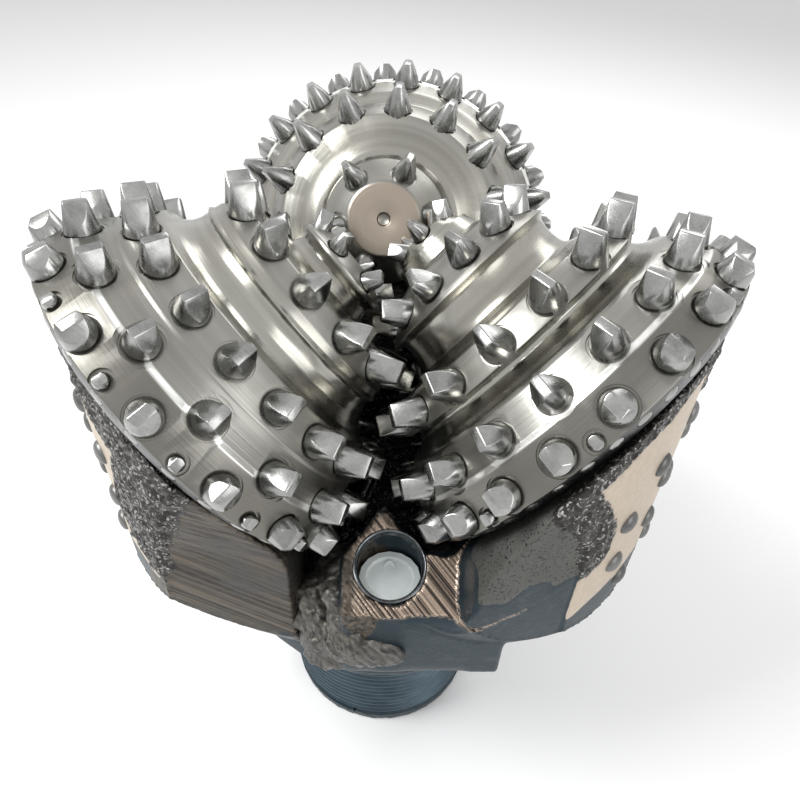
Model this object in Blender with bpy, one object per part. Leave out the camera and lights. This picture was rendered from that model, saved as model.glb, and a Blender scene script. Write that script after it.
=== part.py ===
import math

import bmesh
import bpy
from mathutils import Matrix, Vector

# Driving sizes, in metres. The bit stands on its pin with the cones up, and its axis is Z.
journal_angle = math.radians(32.5)
cone_offset = 0.006
land_height = 0.016
apex_height = 0.375
leg_azimuths = (100, 220, 340)
cone_segments = 24
round_segments = 16

join_within = 1e-6
seat_gap = 0.0003
run_clearance = 0.0003

# Pin and shank, a 6-5/8 regular rotary connection.
pin_length = 0.127
pin_end_radius = 0.0655
pin_base_radius = 0.0761
shank_radius = 0.0984
shank_length = 0.031
shoulder_bevel = 0.0053
bore_radius = 0.038
dome_depth = 0.155
dome_thickness = 0.020
bore_end_taper = 0.006
waist_radius = 0.122
waist_rise = 0.042

# Legs.
leg_radius = 0.1505
leg_foot_radius = 0.118
leg_foot_depth = 0.207
leg_toe_depth = 0.223
leg_foot_sink = 0.004
leg_bottom_depth = 0.155
leg_under_slope = math.radians(53)
leg_under_radius = 0.112
leg_under_length = 0.300
leg_inner_radius = 0.050
leg_inner_depth = 0.190
leg_top_height = 0.004
leg_half_angle = 44
last_face = 0.1305
shirttail_radius = 0.0870
shirttail_flare = 1.25
shirttail_reach = 0.110
sector_start = -73
sector_segments = 10
seam_gap = 0.0004

# Journal and bearing, measured along each cone's axis from where it passes the bit's axis.
journal_radius = 0.044
journal_end = 0.078
journal_root_length = 0.012
pilot_radius = 0.022
pilot_end = 0.060
ring_groove_width = 0.0056
ring_groove_start = 0.079
ring_groove_depth = 0.006
bush_wall = 0.0047
bush_start = 0.086
pilot_bush_setback = 0.0025
gland_start = 0.119
gland_wall = 0.0077
bore_bottom = 0.058
ring_slot_depth = 0.0024
ring_open_segments = 2
thrust_disc_share = 0.9

# Heel of every cone.
gauge_land_start = 0.106
gauge_land_end = 0.1225
heel_radius = 0.0905
heel_length = 0.011

# Inserts.
insert_radius = 0.0078
insert_segments = 6
insert_sink = 0.003
crest_half_length = 0.0042
crest_half_width = 0.0017
insert_height = 0.013
shoulder_height = 0.0125
gauge_height = 0.0084
gauge_crest_half_width = 0.0030
gauge_crest_half_length = 0.0036
trimmer_radius = 0.0040
trimmer_height = 0.0022
trimmer_place = 0.1190
trimmer_length_share = 0.5
trimmer_width_share = 0.4

# Nozzle boss, which slopes down outwards, and the cut that keeps it clear of two cones.
nozzle_angle = -55
nozzle_reach = 0.1166
boss_depth = 0.1063
boss_slope = math.radians(23)
boss_inner = 0.090
boss_outer = 0.1365
boss_taper = 0.022
boss_foot_depth = 0.186
boss_near_side = 0.0225
boss_far_side = 0.052
sweep_clearance = 0.0025
sweep_length = 0.055
sweep_nose_drop = 0.008
sweep_heel_setback = 0.002
sweep_heel_clearance = 0.006

# Nozzle, its seat and the way down to the bore.
nozzle_mouth_radius = 0.0150
nozzle_mouth_depth = 0.0213
mouth_cut_over = 0.016
nozzle_seat_radius = 0.0124
nozzle_seat_depth = 0.024
nozzle_throat_radius = 0.0092
nozzle_throat_run = 0.0065
passage_start = 0.0015
passage_end_radius = 0.020
passage_end_depth = 0.206
passage_share = 0.98
nozzle_orifice_radius = 0.0056
nozzle_ring_wall = 0.0042
nozzle_ring_thick = 0.0030
seal_cord_radius = 0.0016
seal_squeeze_share = 0.9
plug_play = 0.001
plug_thick = 0.009
plug_dish = 0.0012
plug_lip_share = 0.8
plug_dish_share = 0.74

# Grease reservoir in the back of each leg.
reservoir_setback = 0.0175
reservoir_sink = 0.0013
reservoir_tilt = leg_under_slope - math.radians(90)
reservoir_radius = 0.0225
reservoir_length = 0.036
reservoir_lip_radius = 0.0255
reservoir_lip_length = 0.008
pocket_cut_over = 0.030
cap_thick = 0.0038
snap_ring_wall = 0.0030
snap_ring_thick = 0.0018
canister_wall = 0.0018
bag_wall = 0.0020

# Dome buttons on the shirttail, as (degrees round, share of the back's height from its top down).
button_radius = 0.0052
button_height = 0.0027
button_sink = 0.0035
button_segments = 6
button_top_share = 0.6
button_places = (
    (-7, 0.346), (4, 0.292), (-13, 0.508), (-2, 0.467), (9, 0.427), (-13, 0.697), (-2, 0.656), (9, 0.616),
    (-7, 0.872), (4, 0.832),
)

# Weld beads in the grooves where the legs meet.
weld_half_angle = 2.6
weld_depth = 0.006
weld_top = 0.160
weld_clear_of_shoulder = 0.008
weld_cut_over = 0.004
weld_side_share = 1.5


def land(s):
    """Radius of the cone land that leaves a flat hole bottom, at the distance s along the cone's axis."""
    return (land_height + s * math.sin(journal_angle)) / math.cos(journal_angle)


def on_land(s):
    return s, land(s)


# Cone outlines from nose to the start of the gauge land, as (distance, radius).
rear_nose = (
    (0.0290, 0), (0.0295, 0.0184), (0.0400, 0.0310), (0.0480, 0.0315), (0.0550, 0.0355), (0.0578, 0.0425),
    on_land(0.0595), on_land(0.0730), (0.0760, 0.0640), (0.0850, 0.0680), (0.0900, 0.0740),
    on_land(0.0920),
)
left_nose = (
    (0.0265, 0), (0.0265, 0.0150), (0.0315, 0.0240), (0.0340, 0.0240), (0.0360, 0.0220), (0.0420, 0.0220),
    (0.0440, 0.0280), (0.0452, 0.0440), on_land(0.0465), on_land(0.0555), (0.0590, 0.0550),
    (0.0660, 0.0560), (0.0720, 0.0590), on_land(0.0765),
)
right_nose = (
    (0.0160, 0), (0.0160, 0.0120), (0.0175, 0.0160), (0.0270, 0.0190), (0.0300, 0.0270), (0.0420, 0.0425),
    (0.0455, 0.0455), (0.0485, 0.0430), (0.0550, 0.0425), (0.0620, 0.0435), (0.0655, 0.0500),
    on_land(0.0665), on_land(0.0790), (0.0815, 0.0640), (0.0850, 0.0660), on_land(0.0890),
)

# Rows of a cone: distance, radius, height, base radius, crest half length and width, lean, count, first angle.
nose_row_rear = (0.0340, 0.0240, 0.0110, 0.0064, 0.0034, 0.0016, 42, 6, 39.0)
nose_row_left = (0.0293, 0.0190, 0.0090, 0.0052, 0.0030, 0.0015, 62, 6, 30.0)
nose_row_right = (0.0172, 0.0120, 0.0080, 0.0046, 0.0028, 0.0014, 55, 5, 20.0)
inner_row_right = (0.0380, 0.0375, 0.0120, 0.0074, 0.0040, 0.0017, 44, 12, -9.0)


def land_row(s, height, count, first):
    return (s, land(s), height, insert_radius, crest_half_length, crest_half_width,
            math.degrees(journal_angle), count, first)


gauge_slope = math.atan2(heel_radius - land(gauge_land_start), gauge_land_end - gauge_land_start)


def gauge_land(s):
    return heel_radius - (gauge_land_end - s) * math.tan(gauge_slope)


def gauge_row(s, count, first):
    return (s, gauge_land(s), gauge_height, insert_radius, gauge_crest_half_length, gauge_crest_half_width,
            math.degrees(gauge_slope), count, first)


def trimmer_row(count, pitch, first):
    return (trimmer_place, gauge_land(trimmer_place), trimmer_height, trimmer_radius,
            trimmer_radius * trimmer_length_share, trimmer_radius * trimmer_width_share,
            math.degrees(gauge_slope), count, first, pitch)


cone_rows = (
    (
        nose_row_rear,
        land_row(0.0645, insert_height, 15, -1.9),
        land_row(0.1010, shoulder_height, 20, -2.8),
        gauge_row(0.1155, 20, 6.2),
        trimmer_row(10, 36, 15.2),
    ),
    (
        nose_row_left,
        land_row(0.0485, insert_height, 13, -4.0),
        land_row(0.0836, insert_height, 19, 15.3),
        land_row(0.1020, shoulder_height, 15, 11.6),
        gauge_row(0.1158, 15, 25.8),
        trimmer_row(15, 24, 37.8),
    ),
    (
        nose_row_right,
        inner_row_right,
        land_row(0.0728, insert_height, 16, -11.0),
        land_row(0.0983, shoulder_height, 19, 4.1),
        gauge_row(0.1150, 21, 7.7),
        trimmer_row(10, 720 / 21, -0.9),
    ),
)
cone_noses = (rear_nose, left_nose, right_nose)


def clear_scene():
    for obj in list(bpy.data.objects):
        bpy.data.objects.remove(obj, do_unlink=True)


def material(name, colour, roughness, metallic):
    made = bpy.data.materials.new(name)
    made.use_nodes = True
    shader = made.node_tree.nodes["Principled BSDF"]
    shader.inputs["Base Color"].default_value = (*colour, 1)
    shader.inputs["Roughness"].default_value = roughness
    shader.inputs["Metallic"].default_value = metallic
    made.diffuse_color = (*colour, 1)
    return made


def place(name, bm, matrix, look, helper=False, smooth=True):
    """Makes an object of the mesh, with its normals facing out."""
    bmesh.ops.remove_doubles(bm, verts=bm.verts, dist=join_within)
    bmesh.ops.recalc_face_normals(bm, faces=bm.faces)
    mesh = bpy.data.meshes.new(name)
    bm.to_mesh(mesh)
    bm.free()
    obj = bpy.data.objects.new(name, mesh)
    bpy.context.scene.collection.objects.link(obj)
    obj.matrix_world = matrix
    finish, *values = look
    mesh.materials.append(material(f"{finish}_of_{name}", *values))
    if smooth:
        mesh.shade_smooth()
        mesh.set_sharp_from_angle(angle=math.radians(28))
    if helper:
        obj.hide_render = True
        obj.display_type = "WIRE"
    return obj


def turned(outline, segments, start=0.0, sweep=360.0):
    """A solid turned about Z from an outline of (radius, height) points. A part turn is closed at both ends."""
    bm = bmesh.new()
    corners = [bm.verts.new((r, 0, z)) for r, z in outline]
    whole = abs(sweep) >= 360
    open_outline = whole and outline[0][0] == 0 and outline[-1][0] == 0
    pairs = list(zip(corners, corners[1:])) + ([] if open_outline else [(corners[-1], corners[0])])
    edges = [bm.edges.new(pair) for pair in pairs]
    if not whole:
        cap = bm.faces.new(corners)
        bmesh.ops.rotate(bm, verts=bm.verts, cent=(0, 0, 0), matrix=Matrix.Rotation(math.radians(start), 3, "Z"))
        bmesh.ops.spin(bm, geom=[cap], cent=(0, 0, 0), axis=(0, 0, 1), angle=math.radians(sweep),
                       steps=segments, use_duplicate=False)
    else:
        bmesh.ops.spin(bm, geom=corners + edges, cent=(0, 0, 0), axis=(0, 0, 1), angle=math.tau,
                       steps=segments, use_merge=True, use_duplicate=False)
    bmesh.ops.remove_doubles(bm, verts=bm.verts, dist=join_within)
    bmesh.ops.dissolve_degenerate(bm, edges=bm.edges, dist=join_within / 10)
    return bm


def split_ring(outline, segments, gap):
    """A ring open over a number of its segments, with its corners in line with a whole ring's."""
    step = 360 / segments
    return turned(outline, segments - gap, step * gap, 360 - step * gap)


def boss_block():
    """The nozzle boss: a flat sloping top, and an outer face that runs in towards the shank at its foot."""
    bm = bmesh.new()
    foot = -boss_foot_depth
    knee = -boss_foot_depth + boss_taper
    drop = math.tan(boss_slope)
    side = [
        (boss_inner, foot), (boss_outer - boss_taper, foot), (boss_outer, knee),
        (boss_outer, -boss_depth - (boss_outer - nozzle_reach) * drop),
        (boss_inner, -boss_depth + (nozzle_reach - boss_inner) * drop),
    ]
    face = bm.faces.new([bm.verts.new((x, -boss_near_side, z)) for x, z in side])
    grown = bmesh.ops.extrude_face_region(bm, geom=[face], use_keep_orig=True)
    moved = [v for v in grown["geom"] if isinstance(v, bmesh.types.BMVert)]
    bmesh.ops.translate(bm, verts=moved, vec=(0, boss_near_side + boss_far_side, 0))
    return bm


def combine(obj, other, operation):
    modifier = obj.modifiers.new(operation.lower() + "_" + other.name, "BOOLEAN")
    modifier.operation = operation
    modifier.object = other
    modifier.solver = "EXACT"
    return obj


def cone_frame(azimuth):
    """Z runs along the cone's axis, out and down; X points to the cutting side; Y runs back round the bit."""
    turn = math.radians(azimuth)
    outward = Vector((math.cos(turn), math.sin(turn), 0))
    round_bit = Vector((-math.sin(turn), math.cos(turn), 0))
    up = Vector((0, 0, 1))
    axis = outward * math.cos(journal_angle) - up * math.sin(journal_angle)
    side = outward * math.sin(journal_angle) + up * math.cos(journal_angle)
    origin = round_bit * cone_offset + up * apex_height
    frame = Matrix((side, -round_bit, axis)).transposed().to_4x4()
    frame.translation = origin
    return frame


def bit_frame(azimuth):
    return Matrix.Translation((0, 0, apex_height)) @ Matrix.Rotation(math.radians(azimuth), 4, "Z")


carbide = ("carbide", (0.30, 0.30, 0.31), 0.22, 1.0)
cone_steel = ("cone_steel", (0.62, 0.61, 0.58), 0.28, 1.0)
body_steel = ("body_steel", (0.16, 0.17, 0.19), 0.48, 0.9)
bearing_bronze = ("bearing_bronze", (0.55, 0.38, 0.20), 0.35, 1.0)
spring_steel = ("spring_steel", (0.30, 0.31, 0.33), 0.35, 1.0)
rubber = ("seal_rubber", (0.02, 0.02, 0.02), 0.7, 0.0)
plastic = ("plug_plastic", (0.80, 0.82, 0.80), 0.45, 0.0)
weld_metal = ("weld_metal", (0.09, 0.09, 0.10), 0.55, 0.8)


def insert_mesh(bm, row, angle):
    """One chisel insert lofted from a round base under the surface to a crest along the cone."""
    s, r, height, base, half_length, half_width, lean = row[:7]
    lean = math.radians(lean)
    out = Vector((math.cos(lean), 0, -math.sin(lean)))
    along = Vector((math.sin(lean), 0, math.cos(lean)))
    across = Vector((0, 1, 0))
    foot = Vector((r, 0, s))
    growth = 1 + insert_sink / height * (1 - half_length / base)
    turn = Matrix.Rotation(angle, 3, "Z")
    ring = []
    for k in range(insert_segments):
        a = math.tau * (k + 0.5) / insert_segments
        p = foot - out * insert_sink + (along * math.cos(a) + across * math.sin(a)) * base * growth
        ring.append(bm.verts.new(turn @ p))
    crest = []
    for x, y in ((1, 1), (-1, 1), (-1, -1), (1, -1)):
        p = foot + out * height + along * x * half_length + across * y * half_width
        crest.append(bm.verts.new(turn @ p))
    nearest = [min(range(4), key=lambda q: (v.co - crest[q].co).length) for v in ring]
    for k in range(insert_segments):
        after = (k + 1) % insert_segments
        if nearest[k] == nearest[after]:
            bm.faces.new((ring[k], ring[after], crest[nearest[k]]))
        else:
            bm.faces.new((ring[k], ring[after], crest[nearest[after]], crest[nearest[k]]))
    bm.faces.new(crest)
    bm.faces.new(ring[::-1])


def make_cone(index):
    frame = cone_frame(leg_azimuths[index])
    number = index + 1
    fit = 1 / math.cos(math.pi / cone_segments)
    bush_bore = (journal_radius + run_clearance) * fit
    main_bore = bush_bore + bush_wall + seat_gap
    gland_bore = bush_bore + gland_wall + seat_gap
    pilot_bush_bore = (pilot_radius + run_clearance) * fit
    pilot_bore = pilot_bush_bore + bush_wall + seat_gap
    thrust_face = journal_end - 2 * run_clearance
    slot_radius = bush_bore + ring_slot_depth
    slot_end = ring_groove_start + ring_groove_width
    heel_drop = heel_length * math.cos(journal_angle)
    back = gauge_land_end + heel_length * math.sin(journal_angle)
    outer = list(cone_noses[index]) + [
        (gauge_land_start, land(gauge_land_start)),
        (gauge_land_end, heel_radius),
        (back, heel_radius - heel_drop),
    ]
    inner = [
        (back, gland_bore), (gland_start, gland_bore), (gland_start, main_bore), (bush_start, main_bore),
        (bush_start, bush_bore), (slot_end, bush_bore), (slot_end, slot_radius), (ring_groove_start, slot_radius),
        (ring_groove_start, bush_bore), (thrust_face, bush_bore), (thrust_face, pilot_bore),
        (bore_bottom, pilot_bore), (bore_bottom, 0),
    ]
    shell = turned([(r, s) for s, r in outer + inner], cone_segments)
    cone = place(f"cone_{number}", shell, frame, cone_steel)
    inserts = bmesh.new()
    for row in cone_rows[index]:
        count, first = row[7:9]
        pitch = row[9] if len(row) > 9 else 360 / count
        for k in range(count):
            insert_mesh(inserts, row, -math.radians(first + k * pitch))
    teeth = place(f"inserts_of_cone_{number}", inserts, frame, carbide, helper=True, smooth=False)
    combine(cone, teeth, "UNION")

    def ring(name, low, high, inside, outside, look, gap=0):
        outline = [(inside, low), (outside, low), (outside, high), (inside, high)]
        made = split_ring(outline, cone_segments, gap) if gap else turned(outline, cone_segments)
        return place(f"{name}_{number}", made, frame, look)

    ring("bearing_bush", bush_start + seat_gap, gland_start - seat_gap, bush_bore, main_bore - seat_gap, bearing_bronze)
    ring("pilot_bush", bore_bottom + seat_gap + pilot_bush_setback, thrust_face - seat_gap, pilot_bush_bore,
         pilot_bore - seat_gap, bearing_bronze)
    ring("cone_seal", gland_start + seat_gap, back - seat_gap, bush_bore, gland_bore - seat_gap, rubber)
    ring("retaining_ring", ring_groove_start + seat_gap, slot_end - seat_gap, journal_radius - ring_groove_depth
         + 2 * run_clearance, slot_radius - seat_gap, spring_steel, ring_open_segments)
    disc = [(0, bore_bottom + seat_gap), (pilot_radius * thrust_disc_share, bore_bottom + seat_gap),
            (pilot_radius * thrust_disc_share, pilot_end - 2 * run_clearance), (0, pilot_end - 2 * run_clearance)]
    place(f"thrust_disc_{number}", turned(disc, round_segments), frame, bearing_bronze)


def journal_outline():
    slot_end = ring_groove_start + ring_groove_width
    slot_floor = journal_radius - ring_groove_depth
    root = last_face + journal_root_length
    return [
        (0, root), (journal_radius, root), (journal_radius, slot_end), (slot_floor, slot_end),
        (slot_floor, ring_groove_start), (journal_radius, ring_groove_start), (journal_radius, journal_end),
        (pilot_radius, journal_end), (pilot_radius, pilot_end), (0, pilot_end),
    ]


def make_leg(index):
    number = index + 1
    azimuth = leg_azimuths[index]
    home = bit_frame(azimuth)
    tilted = cone_frame(azimuth)
    shoulder = pin_length - apex_height
    end = -apex_height
    ceiling = -dome_depth - dome_thickness
    body = [
        (bore_radius, end), (pin_end_radius, end), (pin_base_radius, shoulder),
        (shank_radius - shoulder_bevel, shoulder), (shank_radius, shoulder + shoulder_bevel),
        (shank_radius, shoulder + shank_length), (waist_radius, shoulder + shank_length + waist_rise),
        (waist_radius, -dome_depth), (0, -dome_depth), (0, ceiling), (bore_radius, ceiling - bore_end_taper),
    ]
    sector = turned(body, sector_segments, sector_start, 120)
    middle = math.radians(sector_start + 60)
    apart = seam_gap / (2 * math.sin(math.radians(60)))
    bmesh.ops.translate(sector, verts=sector.verts, vec=Vector((math.cos(middle), math.sin(middle), 0)) * apart)
    leg = place(f"leg_{number}", sector, home, body_steel)

    arm_outline = [
        (leg_inner_radius, -leg_inner_depth), (shank_radius - leg_foot_sink, -leg_toe_depth),
        (leg_foot_radius, -leg_foot_depth), (leg_radius, -leg_foot_depth), (leg_radius, leg_top_height),
        (leg_inner_radius, leg_top_height),
    ]
    arm = place(f"arm_{number}", turned(arm_outline, 12, -leg_half_angle, 2 * leg_half_angle), home, body_steel,
                helper=True)
    tail_end = last_face + shirttail_reach
    tail_outline = [
        (0, last_face), (shirttail_radius, last_face),
        (shirttail_radius + shirttail_flare * shirttail_reach, tail_end), (0, tail_end),
    ]
    tail = place(f"shirttail_{number}", turned(tail_outline, cone_segments), tilted, body_steel, helper=True)
    combine(arm, tail, "INTERSECT")
    under_outline = [
        (0, -leg_under_length), (leg_under_radius, -leg_under_length), (leg_under_radius, leg_under_length),
        (0, leg_under_length),
    ]
    under_height = leg_under_radius / math.cos(leg_under_slope) - leg_bottom_depth
    lying = Matrix.Translation((leg_radius, 0, under_height)) @ Matrix.Rotation(
        math.radians(90) - leg_under_slope, 4, "Y")
    underside = place(f"leg_underside_{number}", turned(under_outline, 2 * cone_segments), home @ lying, body_steel,
                      helper=True)
    combine(arm, underside, "INTERSECT")
    combine(leg, arm, "UNION")

    boss_home = home @ Matrix.Rotation(math.radians(nozzle_angle), 4, "Z")
    boss = place(f"boss_{number}", boss_block(), boss_home, body_steel, helper=True)
    swept = gauge_land(gauge_land_end) + gauge_height + sweep_clearance
    sweep_start = last_face - sweep_length
    sweep = [
        (0, sweep_start), (swept - sweep_nose_drop, sweep_start), (swept, gauge_land_start),
        (swept, gauge_land_end - sweep_heel_setback), (shirttail_radius + sweep_heel_clearance, last_face),
        (0, last_face),
    ]
    for other in (0, -120):
        passing = place(f"sweep_{number}_{-other}", turned(sweep, cone_segments), cone_frame(azimuth + other),
                        body_steel, helper=True)
        combine(boss, passing, "DIFFERENCE")
    combine(leg, boss, "UNION")
    journal = place(f"journal_{number}", turned(journal_outline(), cone_segments), tilted, body_steel, helper=True)
    combine(leg, journal, "UNION")

    buttons = bmesh.new()
    back_top = (last_face - leg_radius * math.cos(journal_angle)) / math.sin(journal_angle)
    for degrees, share in button_places:
        depth = back_top + share * (leg_bottom_depth - back_top)
        turn = Matrix.Rotation(math.radians(degrees), 3, "Z")
        rings = []
        for radius, lift in ((button_radius, -button_sink), (button_radius * button_top_share, button_height)):
            ring = []
            for k in range(button_segments):
                a = math.tau * k / button_segments
                p = Vector((leg_radius + lift, radius * math.cos(a), -depth + radius * math.sin(a)))
                ring.append(buttons.verts.new(turn @ p))
            rings.append(ring)
        for low, high in zip(rings, rings[1:]):
            for k in range(button_segments):
                after = (k + 1) % button_segments
                buttons.faces.new((low[k], low[after], high[after], high[k]))
        buttons.faces.new(rings[0][::-1])
        buttons.faces.new(rings[-1])
    domes = place(f"buttons_{number}", buttons, home, carbide, helper=True, smooth=False)
    combine(leg, domes, "UNION")

    nozzle_home = boss_home @ Matrix.Translation((nozzle_reach, 0, -boss_depth))
    seat_floor = -nozzle_mouth_depth - nozzle_seat_depth
    throat_end = seat_floor - nozzle_throat_run
    mouth = [
        (0, mouth_cut_over), (nozzle_mouth_radius, mouth_cut_over), (nozzle_mouth_radius, -nozzle_mouth_depth),
        (nozzle_seat_radius, -nozzle_mouth_depth), (nozzle_seat_radius, seat_floor),
        (nozzle_throat_radius, seat_floor), (nozzle_throat_radius, throat_end), (0, throat_end),
    ]
    cut = place(f"nozzle_cut_{number}", turned(mouth, round_segments), nozzle_home, body_steel, helper=True)
    combine(leg, cut, "DIFFERENCE")
    upper = Vector((nozzle_reach, 0, -boss_depth + seat_floor - passage_start))
    lower = Vector((passage_end_radius, 0, -passage_end_depth))
    run = upper - lower
    passage = bmesh.new()
    passage_radius = nozzle_throat_radius * passage_share
    bmesh.ops.create_cone(passage, cap_ends=True, segments=round_segments, radius1=passage_radius,
                          radius2=passage_radius, depth=run.length)
    along = Matrix.Translation((upper + lower) / 2) @ run.to_track_quat("Z", "Y").to_matrix().to_4x4()
    way = place(f"passage_cut_{number}", passage, boss_home @ along, body_steel, helper=True)
    combine(leg, way, "DIFFERENCE")
    make_nozzle(number, nozzle_home)

    out = Matrix.Rotation(math.radians(90) - reservoir_tilt, 4, "Y")
    reservoir_depth = (leg_bottom_depth + reservoir_setback * math.tan(leg_under_slope)
                       - reservoir_sink / math.cos(leg_under_slope))
    reservoir_home = home @ Matrix.Translation((leg_radius - reservoir_setback, 0, -reservoir_depth)) @ out
    pocket = [
        (0, pocket_cut_over), (reservoir_lip_radius, pocket_cut_over), (reservoir_lip_radius, -reservoir_lip_length),
        (reservoir_radius, -reservoir_lip_length), (reservoir_radius, -reservoir_length), (0, -reservoir_length),
    ]
    pocket_cut = place(f"reservoir_cut_{number}", turned(pocket, round_segments), reservoir_home, body_steel, helper=True)
    combine(leg, pocket_cut, "DIFFERENCE")
    make_reservoir(number, reservoir_home)
    return leg


def weld_outline(extra, outward):
    """Section of a seam's groove down the waist and shank, deeper by extra and carried outward."""
    shoulder = pin_length - apex_height
    line = [
        (waist_radius, -weld_top), (waist_radius, shoulder + shank_length + waist_rise),
        (shank_radius, shoulder + shank_length), (shank_radius, shoulder + weld_clear_of_shoulder),
    ]
    inside = [(r - weld_depth - extra, z) for r, z in line]
    outside = [(r + outward, z) for r, z in reversed(line)]
    inside[0] = (inside[0][0], inside[0][1] + extra)
    outside[-1] = (outside[-1][0], outside[-1][1] + extra)
    inside[-1] = (inside[-1][0], inside[-1][1] - extra)
    outside[0] = (outside[0][0], outside[0][1] - extra)
    return inside + outside


def make_weld(index):
    """The bead on the leading side of a leg, and the groove that it lies in."""
    home = bit_frame(leg_azimuths[index] + sector_start)
    bead = turned(weld_outline(0, 0), 2, -weld_half_angle, 2 * weld_half_angle)
    place(f"seam_weld_{index + 1}", bead, home, weld_metal)
    wider = weld_half_angle + math.degrees(seat_gap / shank_radius) * weld_side_share
    groove = turned(weld_outline(seat_gap, weld_cut_over), 2, -wider, 2 * wider)
    return place(f"seam_groove_{index + 1}", groove, home, body_steel, helper=True)


def make_nozzle(number, home):
    floor = -nozzle_mouth_depth - nozzle_seat_depth + seat_gap
    top = -nozzle_mouth_depth
    wall_radius = nozzle_seat_radius - seat_gap
    cord_top = floor + 4 * seal_cord_radius
    cord_inside = wall_radius - 2 * seal_squeeze_share * seal_cord_radius
    body = [
        (nozzle_throat_radius, floor), (wall_radius, floor), (wall_radius, cord_top - 2 * seal_cord_radius),
        (cord_inside, cord_top - 2 * seal_cord_radius), (cord_inside, cord_top), (wall_radius, cord_top),
        (wall_radius, top),
        (nozzle_orifice_radius, top), (nozzle_orifice_radius, (top + floor) / 2),
    ]
    place(f"nozzle_{number}", turned(body, round_segments), home, carbide)
    cord_outline = [
        (cord_inside + seat_gap, cord_top - 2 * seal_cord_radius + seat_gap),
        (wall_radius, cord_top - 2 * seal_cord_radius + seat_gap), (wall_radius, cord_top - seat_gap),
        (cord_inside + seat_gap, cord_top - seat_gap),
    ]
    place(f"nozzle_o_ring_{number}", turned(cord_outline, round_segments), home, rubber)
    outside = nozzle_mouth_radius - seat_gap
    ring_low = top + seat_gap
    keeper = [
        (outside - nozzle_ring_wall, ring_low), (outside, ring_low), (outside, ring_low + nozzle_ring_thick),
        (outside - nozzle_ring_wall, ring_low + nozzle_ring_thick),
    ]
    place(f"nozzle_snap_ring_{number}", split_ring(keeper, round_segments, 1), home, spring_steel)
    plug_low = ring_low + nozzle_ring_thick + seat_gap
    plug_radius = outside - plug_play
    plug = [
        (0, plug_low), (plug_radius, plug_low), (plug_radius, plug_low + plug_thick),
        (plug_radius * plug_lip_share, plug_low + plug_thick),
        (plug_radius * plug_dish_share, plug_low + plug_thick - plug_dish),
        (0, plug_low + plug_thick - plug_dish),
    ]
    place(f"nozzle_plug_{number}", turned(plug, round_segments), home, plastic)


def make_reservoir(number, home):
    inside = reservoir_radius - seat_gap
    floor = -reservoir_length + seat_gap
    top = -reservoir_lip_length
    canister = [
        (0, floor), (inside, floor), (inside, top - seat_gap), (inside - canister_wall, top - seat_gap),
        (inside - canister_wall, floor + canister_wall), (0, floor + canister_wall),
    ]
    place(f"reservoir_canister_{number}", turned(canister, round_segments), home, spring_steel)
    bag = inside - canister_wall - seat_gap
    bag_floor = floor + canister_wall + seat_gap
    diaphragm = [
        (0, bag_floor), (bag, bag_floor), (bag, top - seat_gap), (bag - bag_wall, top - seat_gap),
        (bag - bag_wall, bag_floor + bag_wall), (0, bag_floor + bag_wall),
    ]
    place(f"reservoir_diaphragm_{number}", turned(diaphragm, round_segments), home, rubber)
    cap_radius = reservoir_lip_radius - seat_gap
    cap_low = top + seat_gap
    cap = [(0, cap_low), (cap_radius, cap_low), (cap_radius, cap_low + cap_thick), (0, cap_low + cap_thick)]
    place(f"reservoir_cap_{number}", turned(cap, round_segments), home, body_steel)
    ring_low = cap_low + cap_thick + seat_gap
    keeper = [
        (cap_radius - snap_ring_wall, ring_low), (cap_radius, ring_low), (cap_radius, ring_low + snap_ring_thick),
        (cap_radius - snap_ring_wall, ring_low + snap_ring_thick),
    ]
    place(f"reservoir_snap_ring_{number}", split_ring(keeper, round_segments, 1), home, spring_steel)


def main():
    clear_scene()
    legs = [make_leg(index) for index in range(len(leg_azimuths))]
    for index in range(len(leg_azimuths)):
        make_cone(index)
        groove = make_weld(index)
        combine(legs[index], groove, "DIFFERENCE")
        combine(legs[index - 1], groove, "DIFFERENCE")


main()
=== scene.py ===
import math

import bpy
import numpy as np
from mathutils import Matrix, Vector, kdtree, noise


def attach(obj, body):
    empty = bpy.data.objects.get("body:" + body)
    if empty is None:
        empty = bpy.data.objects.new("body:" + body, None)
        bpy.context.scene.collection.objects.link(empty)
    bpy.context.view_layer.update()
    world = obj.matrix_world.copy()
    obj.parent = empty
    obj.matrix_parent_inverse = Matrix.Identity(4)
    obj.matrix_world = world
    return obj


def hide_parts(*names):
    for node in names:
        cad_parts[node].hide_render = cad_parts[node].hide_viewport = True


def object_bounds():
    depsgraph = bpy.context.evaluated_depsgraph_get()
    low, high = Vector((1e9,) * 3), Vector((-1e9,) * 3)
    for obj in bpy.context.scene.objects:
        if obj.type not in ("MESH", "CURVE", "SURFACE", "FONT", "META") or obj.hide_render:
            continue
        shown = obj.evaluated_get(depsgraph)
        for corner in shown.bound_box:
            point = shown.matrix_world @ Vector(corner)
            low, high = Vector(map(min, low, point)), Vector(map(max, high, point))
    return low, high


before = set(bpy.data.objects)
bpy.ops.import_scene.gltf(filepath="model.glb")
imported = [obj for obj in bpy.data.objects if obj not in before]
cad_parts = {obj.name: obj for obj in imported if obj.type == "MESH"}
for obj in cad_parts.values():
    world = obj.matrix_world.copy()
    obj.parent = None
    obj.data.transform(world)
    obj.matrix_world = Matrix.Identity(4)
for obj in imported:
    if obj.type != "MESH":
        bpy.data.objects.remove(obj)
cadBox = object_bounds()
print("frame loaded")

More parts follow.
